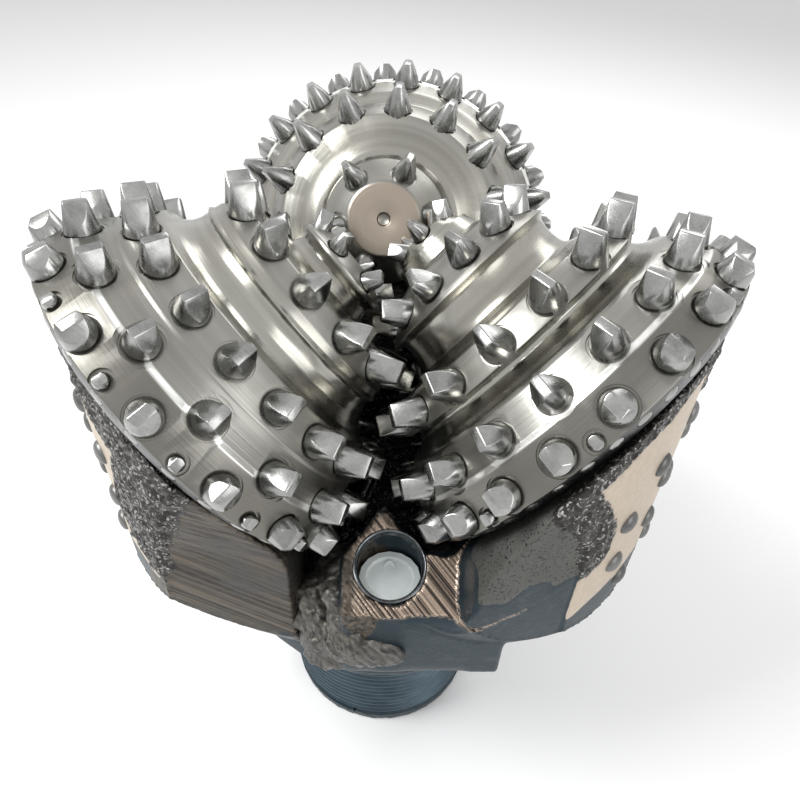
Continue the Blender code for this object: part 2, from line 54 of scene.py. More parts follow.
# The bit's own geometry, as the frame has it: metres, pin down, cones up.
bit = {
    "apexHeight": 0.375,
    "journalAngle": math.radians(32.5),
    "coneOffset": 0.006,
    "legAngles": (100, 220, 340),
    "landHeight": 0.016,
    "nozzleAngle": -55,
    "nozzleReach": 0.1166,
    "bossDepth": 0.1063,
    "bossSlope": math.radians(23),
}
cosine = math.cos(bit["journalAngle"])
sine = math.sin(bit["journalAngle"])
up = Vector((0, 0, 1))


# Helpers


def deselectAll():
    if bpy.context.object and bpy.context.object.mode != "OBJECT":
        bpy.ops.object.mode_set(mode="OBJECT")
    bpy.ops.object.select_all(action="DESELECT")


def pick(*pieces):
    deselectAll()
    for piece in pieces:
        piece.select_set(True)
    bpy.context.view_layer.objects.active = pieces[0]


def settle(piece, home):
    # moves the piece to its place and leaves the place in its mesh
    piece.matrix_world = home
    pick(piece)
    bpy.ops.object.transform_apply(location=True, rotation=True, scale=True)
    if home.to_3x3().determinant() < 0:
        bpy.ops.object.mode_set(mode="EDIT")
        bpy.ops.mesh.select_all(action="SELECT")
        bpy.ops.mesh.flip_normals()
        bpy.ops.object.mode_set(mode="OBJECT")


def openEdge(name, corners, y=0):
    # a chain of edges through the corners, given as (radius, height), left in edit mode
    deselectAll()
    bpy.ops.mesh.primitive_plane_add(size=0.001)
    piece = bpy.context.object
    piece.name = name
    bpy.ops.object.mode_set(mode="EDIT")
    bpy.ops.mesh.select_all(action="SELECT")
    bpy.ops.mesh.merge(type="CENTER")
    bpy.ops.transform.translate(value=(corners[0][0], y, corners[0][1]))
    for (r0, z0), (r1, z1) in zip(corners, corners[1:]):
        bpy.ops.mesh.extrude_vertices_move(TRANSFORM_OT_translate={"value": (r1 - r0, 0, z1 - z0)})
    bpy.ops.mesh.select_all(action="SELECT")
    return piece


def closeUp(merge=0.0):
    # leaves edit mode with close points merged and the faces turned outwards
    bpy.ops.mesh.select_all(action="SELECT")
    if merge:
        bpy.ops.mesh.remove_doubles(threshold=merge)
    bpy.ops.mesh.normals_make_consistent(inside=False)
    bpy.ops.object.mode_set(mode="OBJECT")


def turned(name, corners, steps):
    # spins a section about Z
    piece = openEdge(name, corners)
    bpy.ops.mesh.spin(steps=steps, angle=math.tau, center=(0, 0, 0), axis=(0, 0, 1))
    closeUp(0.00002)
    return piece


def applied(piece, kind, **settings):
    pick(piece)
    modifier = piece.modifiers.new(kind.lower(), kind)
    for key, value in settings.items():
        setattr(modifier, key, value)
    bpy.ops.object.modifier_apply(modifier=modifier.name)


def bevelled(piece, width, angle):
    applied(piece, "BEVEL", width=width, segments=2, limit_method="ANGLE", angle_limit=math.radians(angle))


def smoothed(piece, angle):
    pick(piece)
    bpy.ops.object.shade_smooth_by_angle(angle=math.radians(angle))


def coated(piece, finish, angle=None):
    # smooth all over, or only where the faces meet at less than the angle
    pick(piece)
    if angle is None:
        bpy.ops.object.shade_smooth()
    else:
        smoothed(piece, angle)
    piece.data.materials.append(finish)


def cutWith(piece, cutter, operation="DIFFERENCE"):
    applied(piece, "BOOLEAN", operation=operation, solver="EXACT", object=cutter)
    bpy.data.objects.remove(cutter, do_unlink=True)


def joined(name, pieces):
    pick(*pieces)
    if len(pieces) > 1:
        bpy.ops.object.join()
    whole = bpy.context.object
    whole.name = name
    whole.data.name = name
    return whole


def joinedInPlace(name, pieces):
    whole = joined(name, pieces)
    settle(whole, whole.matrix_world.copy())
    return whole


def copyAt(piece, home):
    double = piece.copy()
    double.data = piece.data.copy()
    bpy.context.scene.collection.objects.link(double)
    double.matrix_world = home
    return double


def legTurn(number, more=0):
    return math.radians(bit["legAngles"][number - 1] + more)


def heading(turn):
    return Vector((math.cos(turn), math.sin(turn), 0))


def bossUp(number):
    # the way that the milled face of a boss faces
    out = heading(legTurn(number, bit["nozzleAngle"]))
    return out * math.sin(bit["bossSlope"]) + up * math.cos(bit["bossSlope"])


def coneHome(number):
    outward = heading(legTurn(number))
    roundBit = heading(legTurn(number, 90))
    axis = outward * cosine - up * sine
    side = outward * sine + up * cosine
    home = Matrix((side, -roundBit, axis)).transposed().to_4x4()
    home.translation = roundBit * bit["coneOffset"] + up * bit["apexHeight"]
    return home


def legHome(number, more=0):
    return Matrix.Translation((0, 0, bit["apexHeight"])) @ Matrix.Rotation(legTurn(number, more), 4, "Z")


def land(s):
    return (bit["landHeight"] + s * sine) / cosine


# Shader groups


def newGroup(name, inputs, outputs):
    # an input is a number, or None for a vector
    group = bpy.data.node_groups.new(name, "ShaderNodeTree")
    for label, value in inputs.items():
        kind = "NodeSocketVector" if value is None else "NodeSocketFloat"
        socket = group.interface.new_socket(name=label, in_out="INPUT", socket_type=kind)
        if value is not None:
            socket.default_value = value
    for label in outputs:
        group.interface.new_socket(name=label, in_out="OUTPUT", socket_type="NodeSocketFloat")
    return group, group.nodes.new("NodeGroupInput").outputs, group.nodes.new("NodeGroupOutput").inputs


def addNode(tree, kind, **settings):
    node = tree.nodes.new(kind)
    for key, value in settings.items():
        setattr(node, key, value)
    return node


def link(fromSocket, toSocket):
    fromSocket.id_data.links.new(fromSocket, toSocket)


def fill(socket, value):
    if isinstance(value, (int, float)):
        socket.default_value = value
    else:
        link(value, socket)


def mathNode(operation, *values):
    node = addNode(values[0].id_data, "ShaderNodeMath", operation=operation)
    for socket, value in zip(node.inputs, values):
        fill(socket, value)
    return node.outputs[0]


def plus(a, b):
    return mathNode("ADD", a, b)


def minus(a, b):
    return mathNode("SUBTRACT", a, b)


def times(a, b):
    return mathNode("MULTIPLY", a, b)


def timesPlus(a, b, c):
    return mathNode("MULTIPLY_ADD", a, b, c)


def ramp(value, stops):
    node = addNode(value.id_data, "ShaderNodeValToRGB")
    elements = node.color_ramp.elements
    while len(elements) > 1:
        elements.remove(elements[-1])
    for k, (place, grey) in enumerate(stops):
        element = elements[0] if k == 0 else elements.new(place)
        element.position = place
        element.color = (grey, grey, grey, 1)
    link(value, node.inputs[0])
    return node.outputs[0]


def rises(value, low, high):
    return ramp(value, [(low, 0.0), (high, 1.0)])


def mixColour(factor, a, b):
    node = addNode(factor.id_data, "ShaderNodeMix", data_type="RGBA")
    link(factor, node.inputs[0])
    for socket, value in ((node.inputs[6], a), (node.inputs[7], b)):
        if isinstance(value, tuple):
            socket.default_value = (*value, 1)
        else:
            link(value, socket)
    return node.outputs[2]


def objectPlace(tree):
    return addNode(tree, "ShaderNodeTexCoord").outputs["Object"]


def noiseNode(vector, scale, detail, roughness=0.5):
    node = addNode(vector.id_data, "ShaderNodeTexNoise")
    node.inputs["Detail"].default_value = detail
    node.inputs["Roughness"].default_value = roughness
    fill(node.inputs["Scale"], scale)
    link(vector, node.inputs["Vector"])
    return node.outputs["Fac"]


def voronoiNode(vector, scale, feature="F1"):
    node = addNode(vector.id_data, "ShaderNodeTexVoronoi", feature=feature)
    link(vector, node.inputs["Vector"])
    link(scale, node.inputs["Scale"])
    return node.outputs


def turnedPlace(tree, turn, place=None):
    # the object's coordinates, seen from a frame that is turned and moved
    mapping = addNode(tree, "ShaderNodeMapping", vector_type="TEXTURE")
    link(objectPlace(tree), mapping.inputs["Vector"])
    link(turn, mapping.inputs["Rotation"])
    if place is not None:
        link(place, mapping.inputs["Location"])
    parts = addNode(tree, "ShaderNodeSeparateXYZ")
    link(mapping.outputs[0], parts.inputs[0])
    return parts.outputs


def combined(tree, *values):
    node = addNode(tree, "ShaderNodeCombineXYZ")
    for socket, value in zip(node.inputs, values):
        link(value, socket)
    return node.outputs[0]


def buildConeCoordinates():
    # distance along a cone's axis and radius from it, for patterns that follow the lathe
    group, start, end = newGroup("coneCoordinates", {"Place": None, "Turn": None}, ["Distance", "Radius"])
    x, y, z = turnedPlace(group, start["Turn"], start["Place"])
    link(z, end["Distance"])
    link(mathNode("SQRT", plus(times(x, x), times(y, y))), end["Radius"])
    return group


def buildTurningMarks():
    # fine lines left by the lathe tool, and a slow change of tone from band to band, which also paints reflection
    # streaks into the polished grooves
    group, start, end = newGroup(
        "turningMarks", {"Distance": 0.0, "Radius": 0.0, "Density": 2600.0}, ["Lines", "Bands"])
    spread = combined(
        group, times(start["Distance"], start["Density"]), times(start["Radius"], start["Density"]))
    link(noiseNode(spread, 1.0, 2.0), end["Lines"])
    link(noiseNode(spread, 0.06, 2.0), end["Bands"])
    return group


def buildSmudges():
    # oil film, finger marks and rust bloom
    group, start, end = newGroup("smudges", {"Size": 30.0, "Spread": 0.5}, ["Mask", "Speckle"])
    place = objectPlace(group)
    spread = addNode(group, "ShaderNodeMapRange")
    link(noiseNode(place, start["Size"], 6.0, 0.62), spread.inputs["Value"])
    link(minus(start["Spread"], 0.12), spread.inputs["From Min"])
    link(plus(start["Spread"], 0.12), spread.inputs["From Max"])
    link(spread.outputs[0], end["Mask"])
    link(noiseNode(place, 900.0, 3.0), end["Speckle"])
    return group


def buildWeldRipple():
    # lumps and pits of rough weld, and bright specks where crushed carbide stands out of it, which the colour paints as
    # glints of light
    group, start, end = newGroup("weldRipple", {"Size": 260.0}, ["Lumps", "Glints"])
    place = objectPlace(group)
    lumpy = voronoiNode(place, start["Size"], "SMOOTH_F1")["Distance"]
    rough = noiseNode(place, times(start["Size"], 2.2), 5.0)
    link(plus(lumpy, times(rough, 0.8)), end["Lumps"])
    crumbs = voronoiNode(place, times(start["Size"], 3.4))["Color"]
    shade = addNode(group, "ShaderNodeSeparateColor")
    link(crumbs, shade.inputs[0])
    link(shade.outputs[0], end["Glints"])
    return group


def buildGrindStreaks():
    # long scratches of a hand grinder, along the direction that the mapping turns to X
    group, start, end = newGroup(
        "grindStreaks", {"Turn": None, "Length": 18.0, "Density": 420.0}, ["Streaks", "Patches"])
    x, y, z = turnedPlace(group, start["Turn"])
    density = start["Density"]
    stretch = combined(group, times(x, start["Length"]), times(y, density), times(z, density))
    link(noiseNode(stretch, 1.0, 5.0), end["Streaks"])
    link(noiseNode(objectPlace(group), 34.0, 5.0), end["Patches"])
    return group


coneCoordinates = buildConeCoordinates()
turningMarks = buildTurningMarks()
smudges = buildSmudges()
weldRipple = buildWeldRipple()
grindStreaks = buildGrindStreaks()


def placeGroup(tree, group, **values):
    node = addNode(tree, "ShaderNodeGroup", node_tree=group)
    for label, value in values.items():
        if isinstance(value, tuple):
            node.inputs[label].default_value = value
        else:
            fill(node.inputs[label], value)
    return node.outputs


def newMaterial(name, metallic, roughness=0.3):
    made = bpy.data.materials.new(name)
    made.use_nodes = True
    shader = made.node_tree.nodes["Principled BSDF"]
    shader.inputs["Metallic"].default_value = metallic
    shader.inputs["Roughness"].default_value = roughness
    return made, made.node_tree, shader


def dressed(shader, colour, rough, height, strength, distance):
    # colour, roughness and fine relief
    link(colour, shader.inputs["Base Color"])
    link(rough, shader.inputs["Roughness"])
    bump = addNode(shader.id_data, "ShaderNodeBump")
    bump.inputs["Strength"].default_value = strength
    bump.inputs["Distance"].default_value = distance
    link(height, bump.inputs["Height"])
    link(bump.outputs[0], shader.inputs["Normal"])


# Materials


# Zones along a cone's axis. The distances of coneSteel are stretched, so that they fill a ramp's 0 to 1.
conePattern = {
    # heel and outside: where painted shade darkens the gauge land and the heel
    "stretch": 7.5, "blend": 0.004, "heel": 0.9225, "outside": (0.789, 0.794),
    # edge: a ring on the step to the gauge, painted near-white as a painted highlight
    "edge": (0.774, 0.777, 0.788, 0.791), "noseEnd": (0.222, 0.224), "noseRadius": 0.0178,
}


def bands(value, edges):
    # 1 between every second pair of edges, each edge given as the start and end of its slope
    return ramp(value, [(0.0, 0.0)] + [(place, float(k % 4 in (1, 2))) for k, place in enumerate(edges)])


def coneSteel(number, grooves):
    # turned bright steel: matt lined lands, polished grooves with painted reflection streaks, a painted highlight ring
    # on the step to the gauge, and a darker gauge and heel, which is painted shade
    made, tree, shader = newMaterial(f"coneSteel{number}", 1.0)
    home = coneHome(number)
    where = placeGroup(tree, coneCoordinates, Place=tuple(home.translation), Turn=tuple(home.to_euler()))
    marks = placeGroup(tree, turningMarks, Distance=where["Distance"], Radius=where["Radius"], Density=2400.0)
    film = placeGroup(tree, smudges, Size=26.0, Spread=0.56)
    stretch, blend = conePattern["stretch"], conePattern["blend"]
    far = times(where["Distance"], stretch)
    polish = bands(far, [end * stretch + side for groove in grooves for end in groove for side in (-blend, blend)])
    light = mixColour(marks["Bands"], (0.19, 0.186, 0.17), (0.43, 0.425, 0.39))
    light = mixColour(times(marks["Lines"], 0.35), light, (0.13, 0.13, 0.125))
    # painted reflection: the polished grooves run from dark to bright in slow bands, as streaks of reflected
    # surroundings
    groove = mixColour(marks["Bands"], (0.13, 0.126, 0.11), (0.56, 0.55, 0.50))
    colour = mixColour(polish, light, groove)
    colour = mixColour(times(film["Mask"], 0.45), colour, (0.25, 0.235, 0.20))
    # painted highlight: a near-white ring on the step between the shoulder land and the gauge
    colour = mixColour(times(bands(far, conePattern["edge"]), 0.85), colour, (0.88, 0.875, 0.85))
    # painted shade: darker past the step to the gauge, and darker still on the heel, which faces the leg
    colour = mixColour(times(rises(far, *conePattern["outside"]), 0.52), colour, (0.085, 0.080, 0.067))
    heel = rises(far, conePattern["heel"] - blend, conePattern["heel"] + blend)
    colour = mixColour(times(heel, 0.85), colour, (0.075, 0.078, 0.08))
    if number == 1:
        low, high = conePattern["noseEnd"]
        inner = mathNode("LESS_THAN", where["Radius"], conePattern["noseRadius"])
        nose = times(ramp(far, [(low, 1.0), (high, 0.0)]), inner)
        colour = mixColour(times(nose, 0.75), colour, (0.36, 0.30, 0.24))
    rough = minus(timesPlus(marks["Lines"], 0.16, 0.22), times(polish, 0.10))
    rough = plus(rough, times(film["Mask"], 0.10))
    depth = times(marks["Lines"], timesPlus(polish, -0.7, 1.0))
    dressed(shader, colour, rough, depth, 0.35, 0.00022)
    return made


def carbideFinish():
    made, tree, shader = newMaterial("polishedCarbide", 1.0)
    film = placeGroup(tree, smudges, Size=70.0, Spread=0.52)
    scratch = placeGroup(tree, grindStreaks, Turn=(0.4, 0.9, 0.2), Length=120.0, Density=1500.0)
    colour = mixColour(film["Mask"], (0.34, 0.34, 0.33), (0.16, 0.16, 0.16))
    colour = mixColour(times(scratch["Streaks"], 0.4), colour, (0.50, 0.50, 0.48))
    rough = timesPlus(film["Mask"], 0.08, timesPlus(scratch["Streaks"], 0.16, 0.13))
    dressed(shader, colour, rough, scratch["Streaks"], 0.12, 0.0002)
    return made


def forgedSteel():
    made, tree, shader = newMaterial("forgedSteel", 0.75)
    film = placeGroup(tree, smudges, Size=16.0, Spread=0.50)
    grain = placeGroup(tree, grindStreaks, Turn=(0.0, 0.5, 0.3), Length=60.0, Density=160.0)
    colour = mixColour(film["Mask"], (0.085, 0.11, 0.14), (0.13, 0.14, 0.155))
    colour = mixColour(times(grain["Streaks"], 0.45), colour, (0.17, 0.17, 0.165))
    relief = plus(film["Speckle"], grain["Patches"])
    dressed(shader, colour, timesPlus(film["Speckle"], 0.25, 0.34), relief, 0.35, 0.0005)
    return made


def groundSteel(name, turn, pale, dark):
    # weld metal that was ground by hand
    made, tree, shader = newMaterial(name, 0.6)
    grain = placeGroup(tree, grindStreaks, Turn=turn, Length=26.0, Density=520.0)
    film = placeGroup(tree, smudges, Size=22.0, Spread=0.5)
    streaks = rises(grain["Streaks"], 0.32, 0.68)
    colour = mixColour(streaks, dark, pale)
    colour = mixColour(times(film["Mask"], 0.5), colour, (0.10, 0.10, 0.10))
    dressed(shader, colour, timesPlus(streaks, -0.12, 0.5), plus(streaks, film["Speckle"]), 0.4, 0.0004)
    return made


def streakTurn(along, facing):
    # turns the streaks' X to a direction that lies in a surface
    out = facing.normalized()
    run = (along - out * along.dot(out)).normalized()
    return tuple(Matrix((run, out.cross(run), out)).transposed().to_euler())


def readZones(tree, name):
    # three masks that the leg's points carry
    zones = addNode(tree, "ShaderNodeAttribute", attribute_name=name)
    parts = addNode(tree, "ShaderNodeSeparateColor")
    link(zones.outputs["Color"], parts.inputs[0])
    return parts.outputs[0], parts.outputs[1], parts.outputs[2]


# The faces beside a leg's back, in its own frame: which way they face, how far out, and how they lean out higher up.
flankFaces = {
    "trailing": {"facing": 56.9, "reach": 0.1219, "from": 0.270, "lean": 0.25},
    "leading": {"facing": -35.0, "reach": 0.1458, "from": 0.292, "lean": 0.10},
}


def legSteel(number):
    # forged blue-grey steel with porous, ground, milled and welded zones over it; the ground back's cream colour is a
    # painted reflection of warm surroundings, and the weld and slag carry painted glints
    made, tree, shader = newMaterial(f"legSteel{number}", 0.62)
    weld, milled, back = readZones(tree, "zones")
    flank, porous, slag = readZones(tree, "moreZones")
    turn = legTurn(number)
    film = placeGroup(tree, smudges, Size=18.0, Spread=0.50)
    grain = placeGroup(tree, grindStreaks, Turn=(0.0, 0.35, turn), Length=40.0, Density=210.0)
    side = turn + math.radians(flankFaces["trailing"]["facing"])
    fine = placeGroup(
        tree, grindStreaks, Length=9.0, Density=430.0,
        Turn=streakTurn(heading(side + math.pi / 2) - up * 0.50, heading(side)))
    out = legTurn(number, bit["nozzleAngle"])
    cutMarks = placeGroup(
        tree, grindStreaks, Length=2.0, Density=950.0,
        Turn=streakTurn(heading(out) + heading(out + math.pi / 2) - up, bossUp(number)))
    ripple = placeGroup(tree, weldRipple, Size=300.0)
    ragged = timesPlus(film["Mask"], 0.24, times(grain["Patches"], 0.5))

    def edged(mask):
        # a zone's edge runs unevenly
        return rises(plus(mask, minus(ragged, 0.35)), 0.42, 0.58)

    colour = mixColour(film["Mask"], (0.010, 0.024, 0.034), (0.028, 0.043, 0.053))
    scuffs = rises(grain["Streaks"], 0.56, 0.72)
    colour = mixColour(times(scuffs, 0.5), colour, (0.060, 0.070, 0.075))
    pits = ramp(film["Speckle"], [(0.36, 1.0), (0.44, 0.0)])
    greyFace = mixColour(grain["Patches"], (0.135, 0.135, 0.122), (0.070, 0.072, 0.068))
    greyFace = mixColour(pits, greyFace, (0.022, 0.022, 0.022))
    colour = mixColour(edged(porous), colour, greyFace)
    brownStreaks = rises(fine["Streaks"], 0.34, 0.66)
    brown = mixColour(brownStreaks, (0.020, 0.017, 0.014), (0.128, 0.108, 0.084))
    brown = mixColour(ramp(grain["Patches"], [(0.48, 0.0), (0.62, 0.75)]), brown, (0.060, 0.062, 0.060))
    colour = mixColour(edged(flank), colour, brown)
    # painted reflection: the ground back is bright steel, tinted cream as if it mirrored warm beige surroundings
    creamReflection = mixColour(fine["Streaks"], (0.62, 0.52, 0.41), (0.42, 0.36, 0.29))
    colour = mixColour(edged(back), colour, creamReflection)
    toolLines = rises(cutMarks["Streaks"], 0.40, 0.60)
    copper = mixColour(toolLines, (0.030, 0.023, 0.019), (0.46, 0.36, 0.28))
    colour = mixColour(milled, colour, copper)
    # painted highlights: bright specks in the colour of the slag, standing in for glints of light; on the hardfacing
    # beads they are painted glints and crushed carbide at once
    glints = rises(ripple["Glints"], 0.80, 0.96)
    beadsWithGlints = mixColour(glints, (0.034, 0.032, 0.029), (0.40, 0.39, 0.37))
    colour = mixColour(edged(weld), colour, beadsWithGlints)
    slagWithGlints = mixColour(glints, (0.020, 0.023, 0.025), (0.30, 0.31, 0.31))
    colour = mixColour(edged(slag), colour, slagWithGlints)
    shine = timesPlus(film["Speckle"], 0.22, 0.34)
    for mask, more in ((porous, 0.20), (milled, -0.20), (weld, -0.10), (slag, -0.24)):
        shine = timesPlus(mask, more, shine)
    rough = times(ripple["Lumps"], times(weld, 3.4))
    rough = minus(rough, times(pits, times(porous, 0.7)))
    rough = timesPlus(brownStreaks, times(flank, 0.5), rough)
    rough = timesPlus(toolLines, times(milled, 0.3), rough)
    rough = timesPlus(grain["Streaks"], 0.35, rough)
    rough = timesPlus(film["Speckle"], 0.22, rough)
    dressed(shader, colour, shine, rough, 0.55, 0.0009)
    return made


def plainFinish(name, metallic, pale, dark, roughness, size=120.0):
    made, tree, shader = newMaterial(name, metallic)
    film = placeGroup(tree, smudges, Size=size, Spread=0.5)
    colour = mixColour(film["Mask"], pale, dark)
    dressed(shader, colour, timesPlus(film["Speckle"], 0.14, roughness - 0.07), film["Speckle"], 0.15, 0.0002)
    return made


finishes = {
    "carbide": carbideFinish(),
    "forged": forgedSteel(),
    "seam": groundSteel("seamGroundSteel", (0.3, 1.2, 0.4), (0.15, 0.14, 0.12), (0.030, 0.028, 0.025)),
    "bossWeld": groundSteel("bossWeldSteel", (0.5, 0.9, 0.2), (0.155, 0.145, 0.125), (0.022, 0.021, 0.019)),
    "thread": plainFinish("oiledThreadSteel", 0.7, (0.050, 0.076, 0.094), (0.030, 0.050, 0.064), 0.38, 40.0),
    "wearButton": plainFinish("wearCarbide", 0.9, (0.20, 0.20, 0.195), (0.095, 0.095, 0.092), 0.40, 60.0),
    "bronze": plainFinish("bearingBronze", 1.0, (0.62, 0.43, 0.22), (0.42, 0.28, 0.14), 0.32),
    "spring": plainFinish("oiledSpringSteel", 1.0, (0.34, 0.35, 0.36), (0.16, 0.16, 0.17), 0.28),
    "rubber": plainFinish("nitrileRubber", 0.0, (0.022, 0.022, 0.024), (0.012, 0.012, 0.012), 0.62),
    "plastic": plainFinish("plugPlastic", 0.0, (0.80, 0.86, 0.85), (0.70, 0.76, 0.75), 0.36, 60.0),
    "bore": plainFinish("boreSteel", 1.0, (0.20, 0.21, 0.22), (0.06, 0.065, 0.07), 0.22),
}
print("materials ready")


# Each cone's section from nose to heel, as (distance, radius), and the grooves that are polished.
step = {
    "start": 0.1036, "end": 0.1050, "landDrop": 0.0007, "gaugeStart": 0.106, "heelStart": 0.1225,
    "heelRadius": 0.0905, "back": 0.0110,
}
gaugeRise = step["heelRadius"] - land(step["gaugeStart"])
gaugeRun = step["heelStart"] - step["gaugeStart"]


def gaugeLand(s):
    return step["heelRadius"] - (step["heelStart"] - s) * (gaugeRise / gaugeRun)


def shoulder(s):
    return (s, land(s) - step["landDrop"])


def lands(*places):
    return [(s, land(s)) for s in places]


coneSections = {
    1: [(0.0295, 0.0030), (0.0310, 0.0024), (0.0290, 0.0034), (0.0290, 0.0176), (0.0296, 0.0188), (0.0340, 0.0240),
        (0.0400, 0.0308), (0.0425, 0.0318), (0.0480, 0.0317), (0.0515, 0.0330), (0.0545, 0.0352), (0.0562, 0.0380),
        (0.0572, 0.0412), (0.0580, 0.0450)] + lands(0.0595, 0.0730) + [
        (0.0738, 0.0648), (0.0760, 0.0642), (0.0800, 0.0648), (0.0850, 0.0680), (0.0885, 0.0722), (0.0905, 0.0752),
        shoulder(0.0925)],
    2: [(0.0262, 0.0026), (0.0275, 0.0022), (0.0262, 0.0030), (0.0262, 0.0138), (0.0270, 0.0160), (0.0300, 0.0212),
        (0.0318, 0.0240), (0.0338, 0.0240), (0.0352, 0.0226), (0.0372, 0.0219), (0.0410, 0.0219), (0.0428, 0.0238),
        (0.0440, 0.0290), (0.0450, 0.0420)] + lands(0.0465, 0.0555) + [
        (0.0562, 0.0545), (0.0590, 0.0550), (0.0606, 0.0566), (0.0620, 0.0552), (0.0660, 0.0556), (0.0700, 0.0572),
        (0.0730, 0.0598), (0.0748, 0.0622)] + lands(0.0765, 0.0915) + [shoulder(0.0925)],
    3: [(0.0160, 0.0024), (0.0172, 0.0020), (0.0160, 0.0028), (0.0160, 0.0118), (0.0168, 0.0142), (0.0210, 0.0172),
        (0.0270, 0.0190), (0.0290, 0.0222), (0.0312, 0.0284), (0.0420, 0.0424), (0.0455, 0.0458), (0.0462, 0.0450),
        (0.0485, 0.0430), (0.0520, 0.0424), (0.0560, 0.0424), (0.0600, 0.0430), (0.0625, 0.0440), (0.0642, 0.0468),
        (0.0652, 0.0510)] + lands(0.0665, 0.0790) + [
        (0.0797, 0.0655), (0.0815, 0.0638), (0.0835, 0.0642), (0.0860, 0.0668), (0.0875, 0.0692),
        (0.0890, 0.0738), shoulder(0.0905)],
}
polishedGrooves = {
    1: [(0.0405, 0.0590), (0.0732, 0.0915)],
    2: [(0.0340, 0.0460), (0.0557, 0.0763)],
    3: [(0.0170, 0.0300), (0.0462, 0.0662), (0.0792, 0.0896)],
}

# Insert shapes: half is half the crest's length, width half its width, and the flats start at foot.
chiselSizes = ("radius", "height", "half", "width", "sunk", "foot")
chisels = {
    "wide": (0.0078, 0.0130, 0.0044, 0.0016, 0.0030, 0.0012),
    "shoulder": (0.0078, 0.0122, 0.0042, 0.0019, 0.0030, 0.0018),
    "gauge": (0.0078, 0.0083, 0.0048, 0.0020, 0.0030, 0.0022),
    "inner": (0.0074, 0.0118, 0.0042, 0.0016, 0.0030, 0.0012),
    "noseLarge": (0.0064, 0.0108, 0.0036, 0.0015, 0.0030, 0.0012),
    "noseSmall": (0.0050, 0.0086, 0.0030, 0.0014, 0.0024, 0.0010),
    "trimmer": (0.0036, 0.0026, 0.0024, 0.0018, 0.0016, 0.0002),
}

# Flats of the inserts that don't have two equal ones: direction, distance at the crest, height of the foot.
ownFlats = {
    "gauge": [(0, 1, 0.0012, 0.0030), (0, -1, 0.0030, 0.0024), (1, 0.15, 0.0032, 0.0036)],
    "trimmer": [(0, 1, 0.0018, 0.0002), (0, -1, 0.0018, 0.0002), (1, 0, 0.0022, 0.0002)],
}

# Rows: name, shape, distance, count, first angle, and what isn't as rowPlace has it.
coneRows = {
    1: [
        ("nose", "noseLarge", 0.0340, 6, 39.0, {"radius": 0.0240, "lean": 42}),
        ("second", "wide", 0.0645, 15, -1.9, {}),
        ("shoulder", "shoulder", 0.1008, 20, -2.8, {}),
        ("gauge", "gauge", 0.1155, 20, 6.2, {}),
        ("trimmers", "trimmer", 0.1190, 10, 15.2, {}),
    ],
    2: [
        ("nose", "noseSmall", 0.0293, 6, 30.0, {"radius": 0.0190, "lean": 62}),
        ("second", "wide", 0.0485, 13, -4.0, {}),
        ("third", "wide", 0.0836, 19, 15.3, {}),
        ("shoulder", "shoulder", 0.1020, 15, 11.6, {}),
        ("gauge", "gauge", 0.1158, 15, 25.8, {}),
        ("trimmers", "trimmer", 0.1190, 15, 37.8, {}),
    ],
    3: [
        ("nose", "noseSmall", 0.0172, 5, 20.0, {"radius": 0.0120, "lean": 55}),
        ("inner", "inner", 0.0380, 12, -9.0, {"radius": 0.0375, "lean": 44}),
        ("third", "wide", 0.0728, 16, -11.0, {}),
        ("shoulder", "shoulder", 0.0983, 19, 4.1, {}),
        ("gauge", "gauge", 0.1150, 21, 7.7, {}),
        ("trimmers", "trimmer", 0.1190, 10, -0.9, {"pitch": 720 / 21}),
    ],
}
counterbores = {"shoulder": {"more": 0.0020, "floor": -0.0003}, "trimmer": {"more": 0.0012, "floor": -0.0014}}
# The hollow for the bearing, from its mouth inwards, as (distance, radius).
coneHollow = [(0.1190, 0.0530), (0.1190, 0.0500), (0.0860, 0.0500), (0.0860, 0.0480), (0.0600, 0.0300)]
heelButton = {"radius": 0.0034, "proud": 0.0004, "distance": 0.1252, "reach": 0.0862, "lean": -57.5, "sunk": 0.002}
seat = {"gap": 0.00035, "depth": 0.0010, "height": 0.0120}


def chiselInsert(kind):
    # a tapered body with flats that leave the crest
    shape = dict(zip(chiselSizes, chisels[kind]))
    deselectAll()
    depth = shape["height"] + shape["sunk"]
    bpy.ops.mesh.primitive_cone_add(vertices=36, radius1=shape["radius"], radius2=shape["half"] * 1.12,
                                    depth=depth, location=(0, 0, depth / 2 - shape["sunk"]))
    piece = bpy.context.object
    bpy.ops.object.transform_apply(location=True, rotation=False, scale=False)
    planes = ownFlats.get(kind, [(0, side, shape["width"], shape["foot"]) for side in (1, -1)])
    bpy.ops.object.mode_set(mode="EDIT")
    for x, y, atCrest, atFoot in planes:
        rise = shape["height"] - atFoot
        run = shape["radius"] * 0.96 - atCrest
        away = Vector((x, y, 0)).normalized()
        normal = (away * rise + Vector((0, 0, 1)) * run).normalized()
        bpy.ops.mesh.select_all(action="SELECT")
        bpy.ops.mesh.bisect(plane_co=away * atCrest + Vector((0, 0, shape["height"])), plane_no=normal,
                            use_fill=True, clear_outer=True)
    closeUp(0.00002)
    bevelled(piece, shape["radius"] * 0.07, 26)
    coated(piece, finishes["carbide"], 30)
    return piece


def insertHome(home, distance, reach, lean, angle):
    tilt = math.radians(lean)
    out = Vector((math.cos(tilt), 0, -math.sin(tilt)))
    along = Vector((math.sin(tilt), 0, math.cos(tilt)))
    stand = Matrix((along, Vector((0, -1, 0)), out)).transposed().to_4x4()
    stand.translation = (reach, 0, distance)
    return home @ Matrix.Rotation(-math.radians(angle), 4, "Z") @ stand


